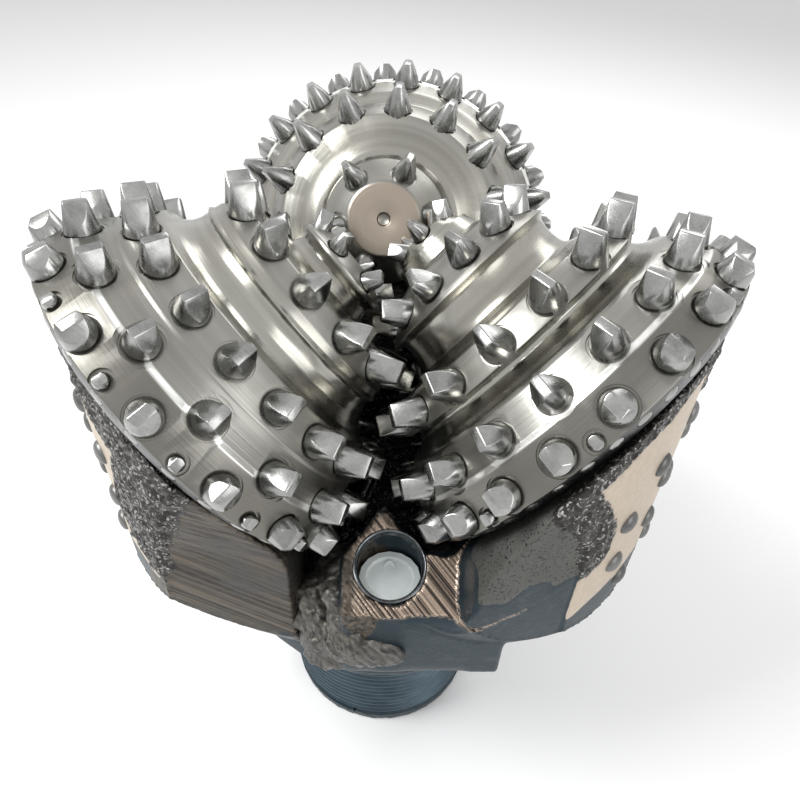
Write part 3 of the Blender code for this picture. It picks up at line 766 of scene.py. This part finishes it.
def seatCutter(radius, floor, homes):
    cutters = []
    for home in homes:
        deselectAll()
        bpy.ops.mesh.primitive_cylinder_add(vertices=36, radius=radius, depth=seat["height"] - floor)
        cutter = bpy.context.object
        cutter.matrix_world = home @ Matrix.Translation((0, 0, (seat["height"] + floor) / 2))
        cutters.append(cutter)
    return joinedInPlace("seatCutter", cutters)


def placedRow(name, pattern, homes, body):
    row = joinedInPlace(name, [copyAt(pattern, home) for home in homes])
    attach(row, body)


patterns = {kind: chiselInsert(kind) for kind in chisels}
button = turned(
    "heelButtonPattern",
    [(0, -heelButton["sunk"]), (heelButton["radius"], -heelButton["sunk"]), (heelButton["radius"], 0),
     (heelButton["radius"] * 0.75, heelButton["proud"]), (0, heelButton["proud"] * 1.5)],
    20,
)
coated(button, finishes["carbide"], 40)


def rowPlace(kind, s):
    # radius and lean of the surface that a row stands on
    if kind in ("gauge", "trimmer"):
        return gaugeLand(s), math.degrees(math.atan2(gaugeRise, gaugeRun))
    drop = step["landDrop"] if kind == "shoulder" else 0
    return land(s) - drop, math.degrees(bit["journalAngle"])


def makeCone(number):
    home = coneHome(number)
    body = f"rolling_cone_{number}"
    section = list(coneSections[number])
    section += [shoulder(step["start"]), (step["end"], gaugeLand(step["end"])), (step["heelStart"], step["heelRadius"])]
    back = step["heelStart"] + step["back"] * sine
    heel = step["heelRadius"] - step["back"] * cosine
    inner = section[0][0] + 0.006
    section += [(back, heel), (back, coneHollow[0][1])] + coneHollow + [(inner, 0.0200), (inner, 0)]
    corners = [(0, section[0][0] + 0.002)] + [(r, s) for s, r in section]
    cone = turned(f"cone{number}Body", corners, 120)
    bevelled(cone, 0.0007, 12)
    settle(cone, home)
    for name, kind, s, count, first, own in coneRows[number]:
        radius, lean = rowPlace(kind, s)
        row = {"radius": radius, "lean": lean, "pitch": 360 / count, **own}
        homes = [insertHome(home, s, row["radius"], row["lean"], first + k * row["pitch"]) for k in range(count)]
        size = chisels[kind][0]
        if kind in counterbores:
            cutWith(cone, seatCutter(size + counterbores[kind]["more"], counterbores[kind]["floor"], homes))
        cutWith(cone, seatCutter(size + seat["gap"], -seat["depth"], homes))
        placedRow(f"cone{number}_{name}_inserts", patterns[kind], homes, body)
        if name == "gauge":
            buttons = 2 * count
    homes = [
        insertHome(home, heelButton["distance"], heelButton["reach"], heelButton["lean"], (k + 0.25) * 360 / buttons)
        for k in range(buttons)
    ]
    cutWith(cone, seatCutter(heelButton["radius"] + 0.0002, -0.0006, homes))
    placedRow(f"cone{number}_heel_buttons", button, homes, body)
    cone.data.materials.clear()
    coated(cone, coneSteel(number, polishedGrooves[number]), 26)
    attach(cone, body)
    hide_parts(f"cone_{number}")
    print("cone", number, "faces", len(cone.data.polygons))


legShape = {
    "voxel": 0.0015, "journalReach": 0.0530, "journalStart": 0.0560, "lastFace": 0.1305, "backRadius": 0.1503,
    "buttonsFrom": 0.1506, "tailRadius": 0.0870, "tailFlare": 1.25, "underSlope": math.radians(53),
    "underRadius": 0.112, "underReach": 0.1505, "bottomDepth": 0.155, "lipWidth": 0.0085, "lipHeight": 0.0022,
    "seamWidth": 0.011,
}
# The turned outline of pin, shank and waist, as (height, radius).
turnedOutline = [(0.0, 0.0655), (0.127, 0.0761), (0.1271, 0.0984), (0.158, 0.0984), (0.200, 0.122), (0.220, 0.122)]
# Wear buttons, as degrees from the leg's middle and depth under the apex.
buttonPlaces = [(-7, 0.058), (4, 0.050), (-13, 0.082), (-2, 0.076), (9, 0.070), (-13, 0.110), (-2, 0.104), (9, 0.098),
                (-7, 0.136), (4, 0.130)]


def fade(value, low, high):
    share = np.clip((value - low) / (high - low), 0, 1)
    return share * share * (3 - 2 * share)


def flankCutter(number, face):
    # a wedge that takes everything outside the face
    low, high, outer = 0.150, 0.40, 0.26
    corners = [(face["reach"], low), (face["reach"], face["from"]),
               (face["reach"] + face["lean"] * (high - face["from"]), high), (outer, high), (outer, low)]
    wedge = openEdge("flankCutter", corners, -0.15)
    bpy.ops.mesh.edge_face_add()
    bpy.ops.mesh.extrude_region_move(TRANSFORM_OT_translate={"value": (0, 0.3, 0)})
    closeUp()
    settle(wedge, Matrix.Rotation(legTurn(number, face["facing"]), 4, "Z"))
    return wedge


def backEdge(face, height):
    # how many degrees round the back ends at this height
    reach = face["reach"] + face["lean"] * max(0, height - face["from"])
    if reach >= legShape["backRadius"]:
        return face["facing"]
    turn = math.degrees(math.acos(reach / legShape["backRadius"]))
    return face["facing"] - math.copysign(turn, face["facing"])


def lipPath(number):
    # the edge of the leg's back: round the shirttail, then down beside the two flank faces
    leg = bit["legAngles"][number - 1]

    def roundLeg(spot):
        return (math.degrees(math.atan2(spot.y, spot.x)) - leg + 180) % 360 - 180

    def betweenFlanks(spot):
        return (backEdge(flankFaces["leading"], spot.z) <= roundLeg(spot)
                <= backEdge(flankFaces["trailing"], spot.z))

    found = [spot for spot in lipOfTail(coneHome(number)) if betweenFlanks(spot)]
    for name, sign, height in (("trailing", 1, 0.258), ("leading", -1, 0.284)):
        top = min([spot.z for spot in found if sign * roundLeg(spot) > 4], default=0.33)
        while height < top:
            turn = math.radians(leg + backEdge(flankFaces[name], height))
            reach = legShape["backRadius"]
            found.append(Vector((reach * math.cos(turn), reach * math.sin(turn), height)))
            height += 0.001
    return found


def lipOfTail(home):
    # where the back meets the face behind the cone
    found = []
    for degrees in range(-150, 151):
        angle = math.radians(degrees)
        for k in range(240):
            r = 0.050 + 0.0005 * k
            along = legShape["lastFace"] + max(0, r - legShape["tailRadius"]) / legShape["tailFlare"]
            spot = home @ Vector((r * math.cos(angle), r * math.sin(angle), along))
            if math.hypot(spot.x, spot.y) >= legShape["backRadius"]:
                found.append(spot)
                break
    return found


def drum(number, radius, low, high):
    deselectAll()
    bpy.ops.mesh.primitive_cylinder_add(vertices=64, radius=radius, depth=high - low)
    piece = bpy.context.object
    piece.matrix_world = coneHome(number) @ Matrix.Translation((0, 0, (low + high) / 2))
    return piece


def mergedCopy(node, name):
    piece = copyAt(bpy.data.objects[node], bpy.data.objects[node].matrix_world.copy())
    piece.name = name
    piece.data.name = name
    pick(piece)
    bpy.ops.object.mode_set(mode="EDIT")
    bpy.ops.mesh.select_all(action="SELECT")
    bpy.ops.mesh.remove_doubles(threshold=0.00001)
    bpy.ops.object.mode_set(mode="OBJECT")
    piece.data.materials.clear()
    return piece


def remeshed(piece, voxel, rounds):
    applied(piece, "REMESH", mode="VOXEL", voxel_size=voxel)
    applied(piece, "SMOOTH", factor=0.5, iterations=rounds)


def getPoints(piece, what="co"):
    flat = np.empty(len(piece.data.vertices) * 3)
    piece.data.vertices.foreach_get(what, flat)
    return flat.reshape(-1, 3)


def getNormals(piece):
    return getPoints(piece, "normal")


def setPoints(piece, points):
    low = np.array(cadBox[0]) + 0.0002
    high = np.array(cadBox[1]) - 0.0002
    piece.data.vertices.foreach_set("co", np.clip(points, low, high).ravel())
    piece.data.update()


def storeZones(piece, name, masks):
    layer = piece.data.attributes.new(name, "FLOAT_COLOR", "POINT")
    values = np.ones((len(piece.data.vertices), 4))
    for k, mask in enumerate(masks):
        values[:, k] = mask
    layer.data.foreach_set("color", values.ravel())


def lumps(points, size, seed):
    # uneven hills and pits, about as wide as size
    shift = Vector((seed * 3.7, seed * 1.3, seed * 2.1))
    return np.array([noise.noise(Vector(p) / size + shift) for p in points])


def layered(points, seed, *layers):
    # lumps of several sizes, each given as (size, share)
    return sum(lumps(points, size, seed + 5 * k) * share for k, (size, share) in enumerate(layers))


def outFacing(points, normals):
    # how far out the points lie, and the share of their normals that points outwards
    reach = np.hypot(points[:, 0], points[:, 1])
    return reach, (normals[:, 0] * points[:, 0] + normals[:, 1] * points[:, 1]) / np.maximum(reach, 1e-6)


# How far off its circle a point may lie to be put back on it, and the heights where that is done.
trueBand = {
    "inside": 0.0011, "outside": 0.0004, "from": 0.004, "to": 0.2190, "shoulder": 0.127, "clear": 0.007,
    "backInside": 0.0010, "backFrom": 0.225,
}


def trueRound(points):
    # puts the points of the turned surfaces back on their circles
    reach = np.hypot(points[:, 0], points[:, 1])
    heights, radii = zip(*turnedOutline)
    wanted = np.interp(points[:, 2], heights, radii)
    near = (reach > wanted - trueBand["inside"]) & (reach < wanted + trueBand["outside"])
    near &= (points[:, 2] > trueBand["from"]) & (points[:, 2] < trueBand["to"])
    near &= np.abs(points[:, 2] - trueBand["shoulder"]) > trueBand["clear"]
    wanted = np.where(near, wanted, reach)
    backs = (reach > legShape["backRadius"] - trueBand["backInside"]) & (points[:, 2] > trueBand["backFrom"])
    wanted = np.where(backs, legShape["backRadius"], wanted)
    grow = wanted / np.maximum(reach, 1e-6)
    points[:, 0] *= grow
    points[:, 1] *= grow


def facing(points, turn):
    # how far the points lie out along a direction round the bit, and aside from it
    return (points[:, 0] * math.cos(turn) + points[:, 1] * math.sin(turn),
            points[:, 1] * math.cos(turn) - points[:, 0] * math.sin(turn))


def bossPlace(points, number):
    # distance out along the nozzle's direction, distance aside from it, and height over the milled face
    across, aside = facing(points, legTurn(number, bit["nozzleAngle"]))
    fall = points[:, 2] - bit["apexHeight"] + bit["bossDepth"]
    above = (across - bit["nozzleReach"]) * math.sin(bit["bossSlope"]) + fall * math.cos(bit["bossSlope"])
    return across, aside, above


# Where the boss's corners are soft, in the nozzle's own directions.
bossSoft = {
    "across": (0.100, 0.112), "nozzle": (0.0172, 0.0205), "above": (0.004, 0.010), "half": 0.062,
    "height": (0.172, 0.182), "aside": (0.030, 0.040), "least": 0.02, "rounds": 60,
}


def roundBoss(shell, number):
    # the forging's soft corners, with the milled face kept flat
    points = getPoints(shell)
    across, aside, above = bossPlace(points, number)
    along = (across - bit["nozzleReach"]) * math.cos(bit["bossSlope"])
    fromNozzle = np.hypot(along, aside)
    soft = fade(across, *bossSoft["across"]) * fade(fromNozzle, *bossSoft["nozzle"])
    soft *= (1 - fade(above, *bossSoft["above"])) * (np.abs(aside) < bossSoft["half"])
    soft *= fade(points[:, 2], *bossSoft["height"]) * (1 - fade(aside, *bossSoft["aside"]))
    group = shell.vertex_groups.new(name="soft")
    for k in np.nonzero(soft > bossSoft["least"])[0]:
        group.add([int(k)], float(soft[k]), "REPLACE")
    applied(shell, "SMOOTH", factor=0.5, iterations=bossSoft["rounds"], vertex_group="soft")
    shell.vertex_groups.clear()
    points = getPoints(shell)
    across, aside, above = bossPlace(points, number)
    flat = (soft > bossSoft["least"]) & (above > -0.0021) & (above < 0.0015) & (across > 0.086)
    points[flat] -= above[flat][:, None] * np.array(bossUp(number))
    setPoints(shell, points)


threadShape = {
    "pitch": 0.00635, "turns": 17, "low": 0.0090, "high": 0.1175, "depth": 0.0024, "steps": 80, "drawnAt": 0.07,
}


def pinReach(height):
    (bottom, narrow), (top, broad) = turnedOutline[:2]
    return narrow + (broad - narrow) * (height - bottom) / (top - bottom)


def makePinThread():
    # a tapered helix over the slimmer core of the pin, fading out at both ends
    deep, pitch = threadShape["depth"], threadShape["pitch"]
    profile = [(-deep, 0), (-deep, 0.14), (-0.0001, 0.44), (-0.0001, 0.58), (-deep, 0.90), (-deep, 1)]
    drawnAt = threadShape["drawnAt"]
    thread = openEdge("pinThread", [(drawnAt + r, z * pitch) for r, z in profile])
    applied(thread, "SCREW", angle=math.tau, screw_offset=pitch, iterations=threadShape["turns"],
            steps=threadShape["steps"], render_steps=threadShape["steps"], use_merge_vertices=True,
            merge_threshold=0.00001)
    points = getPoints(thread)
    reach = np.hypot(points[:, 0], points[:, 1])
    height = points[:, 2] + threadShape["low"] - 0.3 * pitch
    full = fade(height, 0.008, 0.016) * (1 - fade(height, 0.106, 0.116))
    wanted = pinReach(height) - deep + (reach - drawnAt + deep) * full
    points[:, :2] *= (wanted / reach)[:, None]
    points[:, 2] = np.clip(height, threadShape["low"] - 0.0004, threadShape["high"] + 0.0004)
    setPoints(thread, points)
    pick(thread)
    bpy.ops.object.mode_set(mode="EDIT")
    closeUp(0.00001)
    coated(thread, finishes["thread"], 30)
    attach(thread, "bit_body")


plugMark = {"across": 0.0024, "stretch": 1.75, "cord": 0.00055}


def makePlugMark(number):
    # the plug's moulded oval rib, on its face
    node = bpy.data.objects[f"nozzle_plug_{number}"]
    inwards = nozzleHome(number).inverted() @ node.matrix_world
    places = [inwards @ point.co for point in node.data.vertices]
    face = max(place.z for place in places if math.hypot(place.x, place.y) < 0.0085)
    deselectAll()
    bpy.ops.mesh.primitive_torus_add(major_radius=plugMark["across"], minor_radius=plugMark["cord"],
                                     major_segments=40, minor_segments=12)
    mark = bpy.context.object
    mark.name = f"nozzle{number}PlugRib"
    mark.scale = (plugMark["stretch"], 1, 1)
    bpy.ops.object.transform_apply(location=False, rotation=False, scale=True)
    settle(mark, nozzleHome(number) @ Matrix.Translation((0, 0, face)))
    coated(mark, finishes["plastic"], 60)
    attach(mark, "bit_body")


def makeSeamWeld(number):
    bead = mergedCopy(f"seam_weld_{number}", f"seamWeld{number}Bead")
    remeshed(bead, 0.0010, 2)
    points = getPoints(bead)
    normals = getNormals(bead)
    outwards = outFacing(points, normals)[1]
    rough = layered(points, number + 20, (0.0045, 0.7), (0.0018, 0.3))
    points += normals * (fade(outwards, 0.3, 0.8) * (0.0012 + rough * 0.0018))[:, None]
    setPoints(bead, points)
    coated(bead, finishes["seam"])
    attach(bead, "bit_body")
    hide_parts(f"seam_weld_{number}")


# Weld metal beside the boss, as radius, degrees from the seam, height and size.
bossWeld = [
    (0.106, -4.0, 0.2500, 0.0085), (0.109, -7.0, 0.2440, 0.0095), (0.111, -3.0, 0.2380, 0.0095),
    (0.110, -11.0, 0.2340, 0.0105), (0.112, -6.5, 0.2300, 0.0115), (0.113, -2.5, 0.2250, 0.0105),
    (0.111, -13.0, 0.2210, 0.0110), (0.113, -8.5, 0.2170, 0.0115), (0.114, -4.0, 0.2120, 0.0105),
    (0.113, -10.0, 0.2050, 0.0100), (0.114, -6.0, 0.2000, 0.0095), (0.100, -8.0, 0.2360, 0.0140),
    (0.098, -3.0, 0.2440, 0.0110), (0.100, -13.0, 0.2240, 0.0130), (0.113, -3.0, 0.1930, 0.0080),
    (0.1140, -14.6, 0.2354, 0.0090), (0.1180, -11.4, 0.2309, 0.0090), (0.1230, -7.9, 0.2280, 0.0090),
    (0.1290, -4.3, 0.2267, 0.0110), (0.1320, -0.8, 0.2290, 0.0100), (0.1335, 2.5, 0.2290, 0.0088),
    (0.1275, -3.8, 0.2459, 0.0085), (0.1170, -15.0, 0.2204, 0.0090), (0.1210, -11.4, 0.2124, 0.0090),
    (0.1270, -6.9, 0.2101, 0.0095), (0.1310, -2.4, 0.2382, 0.0100), (0.1335, 1.3, 0.2330, 0.0095),
    (0.1345, 4.9, 0.2300, 0.0080), (0.1240, -5.6, 0.2530, 0.0070), (0.1240, -10.3, 0.2036, 0.0085),
    (0.1300, -3.6, 0.2235, 0.0085), (0.1325, 0.5, 0.2260, 0.0085), (0.1250, -9.0, 0.2200, 0.0100),
]


def makeBossWeld(number):
    # the built-up weld that fills the corner between the boss and the next leg
    parts = []
    for reach, turn, height, size in bossWeld:
        deselectAll()
        bpy.ops.mesh.primitive_ico_sphere_add(subdivisions=3, radius=size)
        parts.append(bpy.context.object)
        settle(parts[-1], legHome(number, -60 + turn) @ Matrix.Translation((reach, 0, height - bit["apexHeight"])))
    heap = joined(f"boss{number}Weld", parts)
    remeshed(heap, 0.0011, 24)
    points = getPoints(heap)
    normals = getNormals(heap)
    rough = layered(points, number + 40, (0.0080, 0.5), (0.0032, 0.35), (0.0014, 0.15))
    setPoints(heap, points + normals * (rough * 0.0036)[:, None])
    coated(heap, finishes["bossWeld"])
    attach(heap, "bit_body")


# Limits of the leg's zones in its own frame: metres, or the share of a normal that points one way.
zoneLimits = {
    "backReach": (0.1490, 0.1500), "backHeight": (0.240, 0.246), "backFacing": (0.75, 0.92),
    "bandReach": (0.1485, 0.1500), "bandFacing": (0.6, 0.9), "bandSide": (-0.006, 0.014), "bandHeight": (0.236, 0.275),
    "milledOff": (0.0003, 0.0009), "milledAcross": (0.084, 0.088), "milledHalf": 0.058, "bareSide": (-0.0180, -0.0135),
    "seamHeight": (0.165, 0.180), "flankSide": (0.030, 0.050), "flankHeight": (0.196, 0.212), "core": 0.045,
    "porousSide": (0.040, 0.060), "porousSlope": (0.272, 0.284), "porousHeight": (0.276, 0.288),
    "slagFacing": (0.2, 0.6), "slagReach": (0.100, 0.112), "slagFoot": 0.2125, "slagTop": (0.262, 0.280),
    "boreReach": (0.045, 0.050),
}


def within(value, name):
    return fade(value, *zoneLimits[name])


def roundUnderside(points, number):
    # puts the points of the leg's rounded underside back on their cylinder
    turn, slope = legTurn(number), legShape["underSlope"]
    x, y = facing(points, turn)
    z = points[:, 2]
    axisHeight = legShape["underRadius"] / math.cos(slope) - legShape["bottomDepth"] + bit["apexHeight"]
    offAxis = (z - axisHeight) * math.cos(slope) - (x - legShape["underReach"]) * math.sin(slope)
    away = np.hypot(offAxis, y)
    under = (np.abs(away - legShape["underRadius"]) < 0.0006) & (offAxis < 0) & (x > 0.09)
    push = np.where(under, (legShape["underRadius"] - away) / np.maximum(away, 1e-6), 0)
    x = x - offAxis * push * math.sin(slope)
    z = z + offAxis * push * math.cos(slope)
    y = y + y * push
    return np.stack((x * math.cos(turn) - y * math.sin(turn), x * math.sin(turn) + y * math.cos(turn), z), axis=1)


def cutLeg(number):
    # the journal as the solid has it, and the rest with its details taken off, ready for a rough skin
    shell = mergedCopy(f"leg_{number}", f"leg{number}Forging")
    journal = mergedCopy(f"leg_{number}", f"leg{number}Journal")
    core = (number, legShape["journalReach"], legShape["journalStart"], legShape["lastFace"])
    cutWith(journal, drum(*core), "INTERSECT")
    cutWith(shell, drum(*core))
    outer = legShape["buttonsFrom"]
    cutWith(shell, turned(
        "buttonCutter", [(outer, 0.19), (0.17, 0.19), (0.17, 0.36), (outer, 0.36), (outer, 0.19)], 180))
    for face in flankFaces.values():
        cutWith(shell, flankCutter(number, face))
    low, high = threadShape["low"], threadShape["high"]
    under = threadShape["depth"] + 0.0003
    corners = [(pinReach(low) - under, low), (0.09, low), (0.09, high), (pinReach(high) - under, high)]
    cutWith(shell, turned("threadCutter", corners + corners[:1], 120))
    remeshed(shell, legShape["voxel"], 3)
    return shell, journal


def makeLeg(number, lips):
    shell, journal = cutLeg(number)
    roundBoss(shell, number)
    points = getPoints(shell)
    trueRound(points)
    points = roundUnderside(points, number)
    setPoints(shell, points)

    x, y = facing(points, legTurn(number))
    z = points[:, 2]
    normals = getNormals(shell)
    reach, outwards = outFacing(points, normals)
    broad = lumps(points, 0.0140, number + 11)
    rough = layered(points, number, (0.0050, 0.6), (0.0022, 0.4))
    back = within(reach, "backReach") * within(z + broad * 0.006, "backHeight") * within(outwards, "backFacing")

    # hardfacing beside the lips, wider on the back
    tree = kdtree.KDTree(len(lips))
    for k, spot in enumerate(lips):
        tree.insert(spot, k)
    tree.balance()
    edge = np.array([tree.find(Vector(p))[2] for p in points]) + rough * 0.004 + broad * 0.002
    onBack = within(reach, "bandReach") * within(outwards, "bandFacing")
    wide = legShape["lipWidth"] + onBack * (0.004 + 0.021 * within(y, "bandSide") * within(z, "bandHeight"))
    weld = 1 - fade(edge, wide - 0.0025, wide)

    # the milled face round the nozzle
    across, aside, above = bossPlace(points, number)
    milled = (1 - within(np.abs(above), "milledOff")) * within(across, "milledAcross")
    milled *= np.abs(aside) < zoneLimits["milledHalf"]

    # ground strips beside the seams and the ground flank
    seamLine = x * math.tan(math.radians(60))
    seamAside = np.minimum(np.abs(y - seamLine), np.abs(y + seamLine)) * 0.5
    seam = (1 - fade(seamAside + rough * 0.004 + broad * 0.014, 0.004, legShape["seamWidth"])) * (x > 0)
    seam *= within(z + broad * 0.03, "seamHeight")
    flank = within(y, "flankSide") * (1 - back) * within(z + broad * 0.02, "flankHeight")
    flank = np.maximum(flank, seam) * (reach > zoneLimits["core"])

    # the forging's porous skin, high on the leg
    porous = within(-y, "porousSide") * within(z + 0.35 * (reach - 0.15) + broad * 0.012, "porousSlope") * (1 - back)
    porous = np.maximum(porous, within(z + broad * 0.01, "porousHeight") * (1 - back) * (1 - flank))

    # the milled face's far side is ground over, and slag covers its inner tip and the middle of the bit
    bare = within(aside, "bareSide")
    flank = np.maximum(flank, milled * (1 - bare))
    milled = milled * bare
    tip = milled * (1 - fade(across, bit["nozzleReach"] - 0.024, bit["nozzleReach"] - 0.019))
    milled = milled - tip
    slag = within(normals[:, 2], "slagFacing") * (1 - within(reach, "slagReach")) * (z > zoneLimits["slagFoot"])
    slag = np.maximum(slag * (1 - milled) * (1 - within(z, "slagTop")), tip)
    free = np.clip((0.2275 - z) / 0.003, 0, 1)

    # relief, which stays clear of the cone
    shift = weld * (legShape["lipHeight"] * (0.30 + rough * 1.2) - 0.0004) + flank * (1 - weld) * rough * 0.0003
    shift += seam * (rough * 0.0011 - 0.0002) * (1 - milled) + slag * (0.0026 + rough * 0.0036) * free
    shift *= within(reach, "boreReach")
    inwards = coneHome(number).inverted()
    coneGap = np.array([(inwards @ Vector(p)).z for p in points]) - legShape["lastFace"]
    shift = np.where((coneGap < 0.0012) & (weld > 0), np.minimum(shift, 0), shift)
    setPoints(shell, points + normals * shift[:, None])
    storeZones(shell, "zones", (weld, milled, back * (1 - weld)))
    storeZones(shell, "moreZones", (flank * (1 - weld), porous, slag))
    coated(shell, legSteel(number))
    coated(journal, finishes["spring"], 30)
    for piece in (shell, journal):
        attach(piece, "bit_body")
    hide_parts(f"leg_{number}")
    print("leg", number, "faces", len(shell.data.polygons))


wearButton = {"radius": 0.0056, "height": 0.0027, "sunk": 0.0012, "seat": 0.1504}


def makeWearButtons(number):
    radius, height = wearButton["radius"], wearButton["height"]
    pattern = turned(
        "wearButton",
        [(0, -wearButton["sunk"]), (radius * 0.96, -wearButton["sunk"]), (radius, 0), (radius * 0.93, height * 0.35),
         (radius * 0.76, height * 0.66), (radius * 0.50, height * 0.88), (radius * 0.24, height * 0.98), (0, height)],
        28,
    )
    coated(pattern, finishes["wearButton"], 50)
    lying = Matrix.Rotation(math.pi / 2, 4, "Y")
    copies = [copyAt(pattern, legHome(number, turn) @ Matrix.Translation((wearButton["seat"], 0, -depth)) @ lying)
              for turn, depth in buttonPlaces]
    bpy.data.objects.remove(pattern, do_unlink=True)
    whole = joinedInPlace(f"leg{number}WearButtons", copies)
    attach(whole, "bit_body")


def nozzleHome(number):
    home = legHome(number, bit["nozzleAngle"]) @ Matrix.Translation((bit["nozzleReach"], 0, -bit["bossDepth"]))
    return home @ Matrix.Rotation(bit["bossSlope"], 4, "Y")


threadRings = {
    "outer": 0.0162, "inner": 0.01405, "root": 0.0149, "pitch": 0.0021, "count": 3, "start": -0.0024, "rim": 0.0152,
    "bottom": -0.0110,
}


def makeNozzleSleeve(number):
    # the threaded wall of the nozzle's mouth, with its bright edge
    shape = threadRings
    corners = [(shape["outer"], shape["bottom"]), (shape["outer"], 0.00005), (shape["rim"] + 0.0004, 0.0002),
               (shape["rim"] - 0.0001, 0.0000), (shape["root"], -0.0006), (shape["root"], shape["start"])]
    for k in range(shape["count"]):
        top = shape["start"] - k * shape["pitch"]
        corners += [(shape["inner"] + 0.0001, top - 0.0007), (shape["inner"] + 0.0001, top - 0.0010),
                    (shape["root"], top - 0.0017)]
    corners += [(shape["root"], shape["bottom"]), (shape["outer"], shape["bottom"])]
    sleeve = turned(f"nozzle{number}ThreadedMouth", corners, 72)
    bevelled(sleeve, 0.00018, 20)
    coated(sleeve, finishes["bore"], 30)
    settle(sleeve, nozzleHome(number))
    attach(sleeve, "bit_body")


for number in (1, 2, 3):
    makeCone(number)
allLips = {number: lipPath(number) for number in (1, 2, 3)}
for number in (1, 2, 3):
    makeLeg(number, allLips[number])
    makeWearButtons(number)
    makeNozzleSleeve(number)
    makePlugMark(number)
    makeSeamWeld(number)
    makeBossWeld(number)
makePinThread()
print("legs ready")
for pattern in [*patterns.values(), button]:
    bpy.data.objects.remove(pattern, do_unlink=True)
print("cones ready")


# Camera, light and stage

view = {
    "place": (0.070539, -0.289539, 0.530071),
    "yaw": math.radians(-12.388),
    "pitch": math.radians(-42.092),
    "roll": math.radians(2.260),
    "sensor": 36,
    "focal": 710.07 * 36 / 800,
}


def makeCamera():
    level = math.cos(view["pitch"])
    forward = Vector((math.sin(view["yaw"]) * level, math.cos(view["yaw"]) * level, math.sin(view["pitch"])))
    right = forward.cross(Vector((0, 0, 1))).normalized()
    up = right.cross(forward)
    turnedRight = right * math.cos(view["roll"]) + up * math.sin(view["roll"])
    turnedUp = up * math.cos(view["roll"]) - right * math.sin(view["roll"])
    data = bpy.data.cameras.new("photoCamera")
    data.sensor_width = view["sensor"]
    data.lens = view["focal"]
    data.clip_start = 0.01
    camera = bpy.data.objects.new("photoCamera", data)
    bpy.context.scene.collection.objects.link(camera)
    matrix = Matrix((turnedRight, turnedUp, -forward)).transposed().to_4x4()
    matrix.translation = Vector(view["place"])
    camera.matrix_world = matrix
    bpy.context.scene.camera = camera


def makeLamp(name, place, size, power, aim=(0, 0, 0.3)):
    data = bpy.data.lights.new(name, "AREA")
    data.shape = "RECTANGLE"
    data.size, data.size_y = size
    data.energy = power
    lamp = bpy.data.objects.new(name, data)
    bpy.context.scene.collection.objects.link(lamp)
    lamp.location = place
    lamp.rotation_euler = (Vector(aim) - Vector(place)).to_track_quat("-Z", "Y").to_euler()


def makeStage():
    deselectAll()
    bpy.ops.mesh.primitive_plane_add(size=6, location=(0, 0, -0.0005))
    floor = bpy.context.object
    floor.name = "floor"
    bpy.ops.object.transform_apply(location=True, rotation=False, scale=False)
    made, tree, shader = newMaterial("paleFloor", 0.0, 0.6)
    shader.inputs["Base Color"].default_value = (0.955, 0.955, 0.955, 1)
    floor.data.materials.append(made)
    # the world is brighter where the camera or a mirror sees it than as a light
    world = bpy.data.worlds.new("studio")
    world.use_nodes = True
    bpy.context.scene.world = world
    tree = world.node_tree
    background = tree.nodes["Background"]
    path = addNode(tree, "ShaderNodeLightPath")
    seen = mathNode("MAXIMUM", path.outputs["Is Camera Ray"], path.outputs["Is Glossy Ray"])
    seen = mathNode("MAXIMUM", seen, path.outputs["Is Transmission Ray"])
    background.inputs["Color"].default_value = (1, 1, 1, 1)
    link(timesPlus(seen, 0.45, 0.55), background.inputs["Strength"])


makeCamera()
makeStage()
makeLamp("keyLamp", (-0.9, -0.5, 1.5), (0.7, 0.7), 24)
makeLamp("fillLamp", (1.2, -0.8, 0.9), (0.8, 1.2), 7)
makeLamp("backLamp", (0.2, 1.2, 1.2), (1.4, 0.6), 9)
bpy.context.scene.view_settings.view_transform = "Standard"
print("camera and lamps ready")


# The CAD nodes that stay get their finishes

nodeFinishes = {
    "bronze": ("bearing_bush", "pilot_bush", "thrust_disc"),
    "rubber": ("cone_seal", "nozzle_o_ring", "reservoir_diaphragm"),
    "spring": ("retaining_ring", "nozzle_snap_ring", "reservoir_canister", "reservoir_snap_ring"),
    "carbide": ("nozzle",),
    "plastic": ("nozzle_plug",),
    "forged": ("reservoir_cap",),
}
for finish, labels in nodeFinishes.items():
    for name in [f"{label}_{number}" for label in labels for number in (1, 2, 3)]:
        for slot in bpy.data.objects[name].material_slots:
            slot.material = finishes[finish]
print("finishes placed")
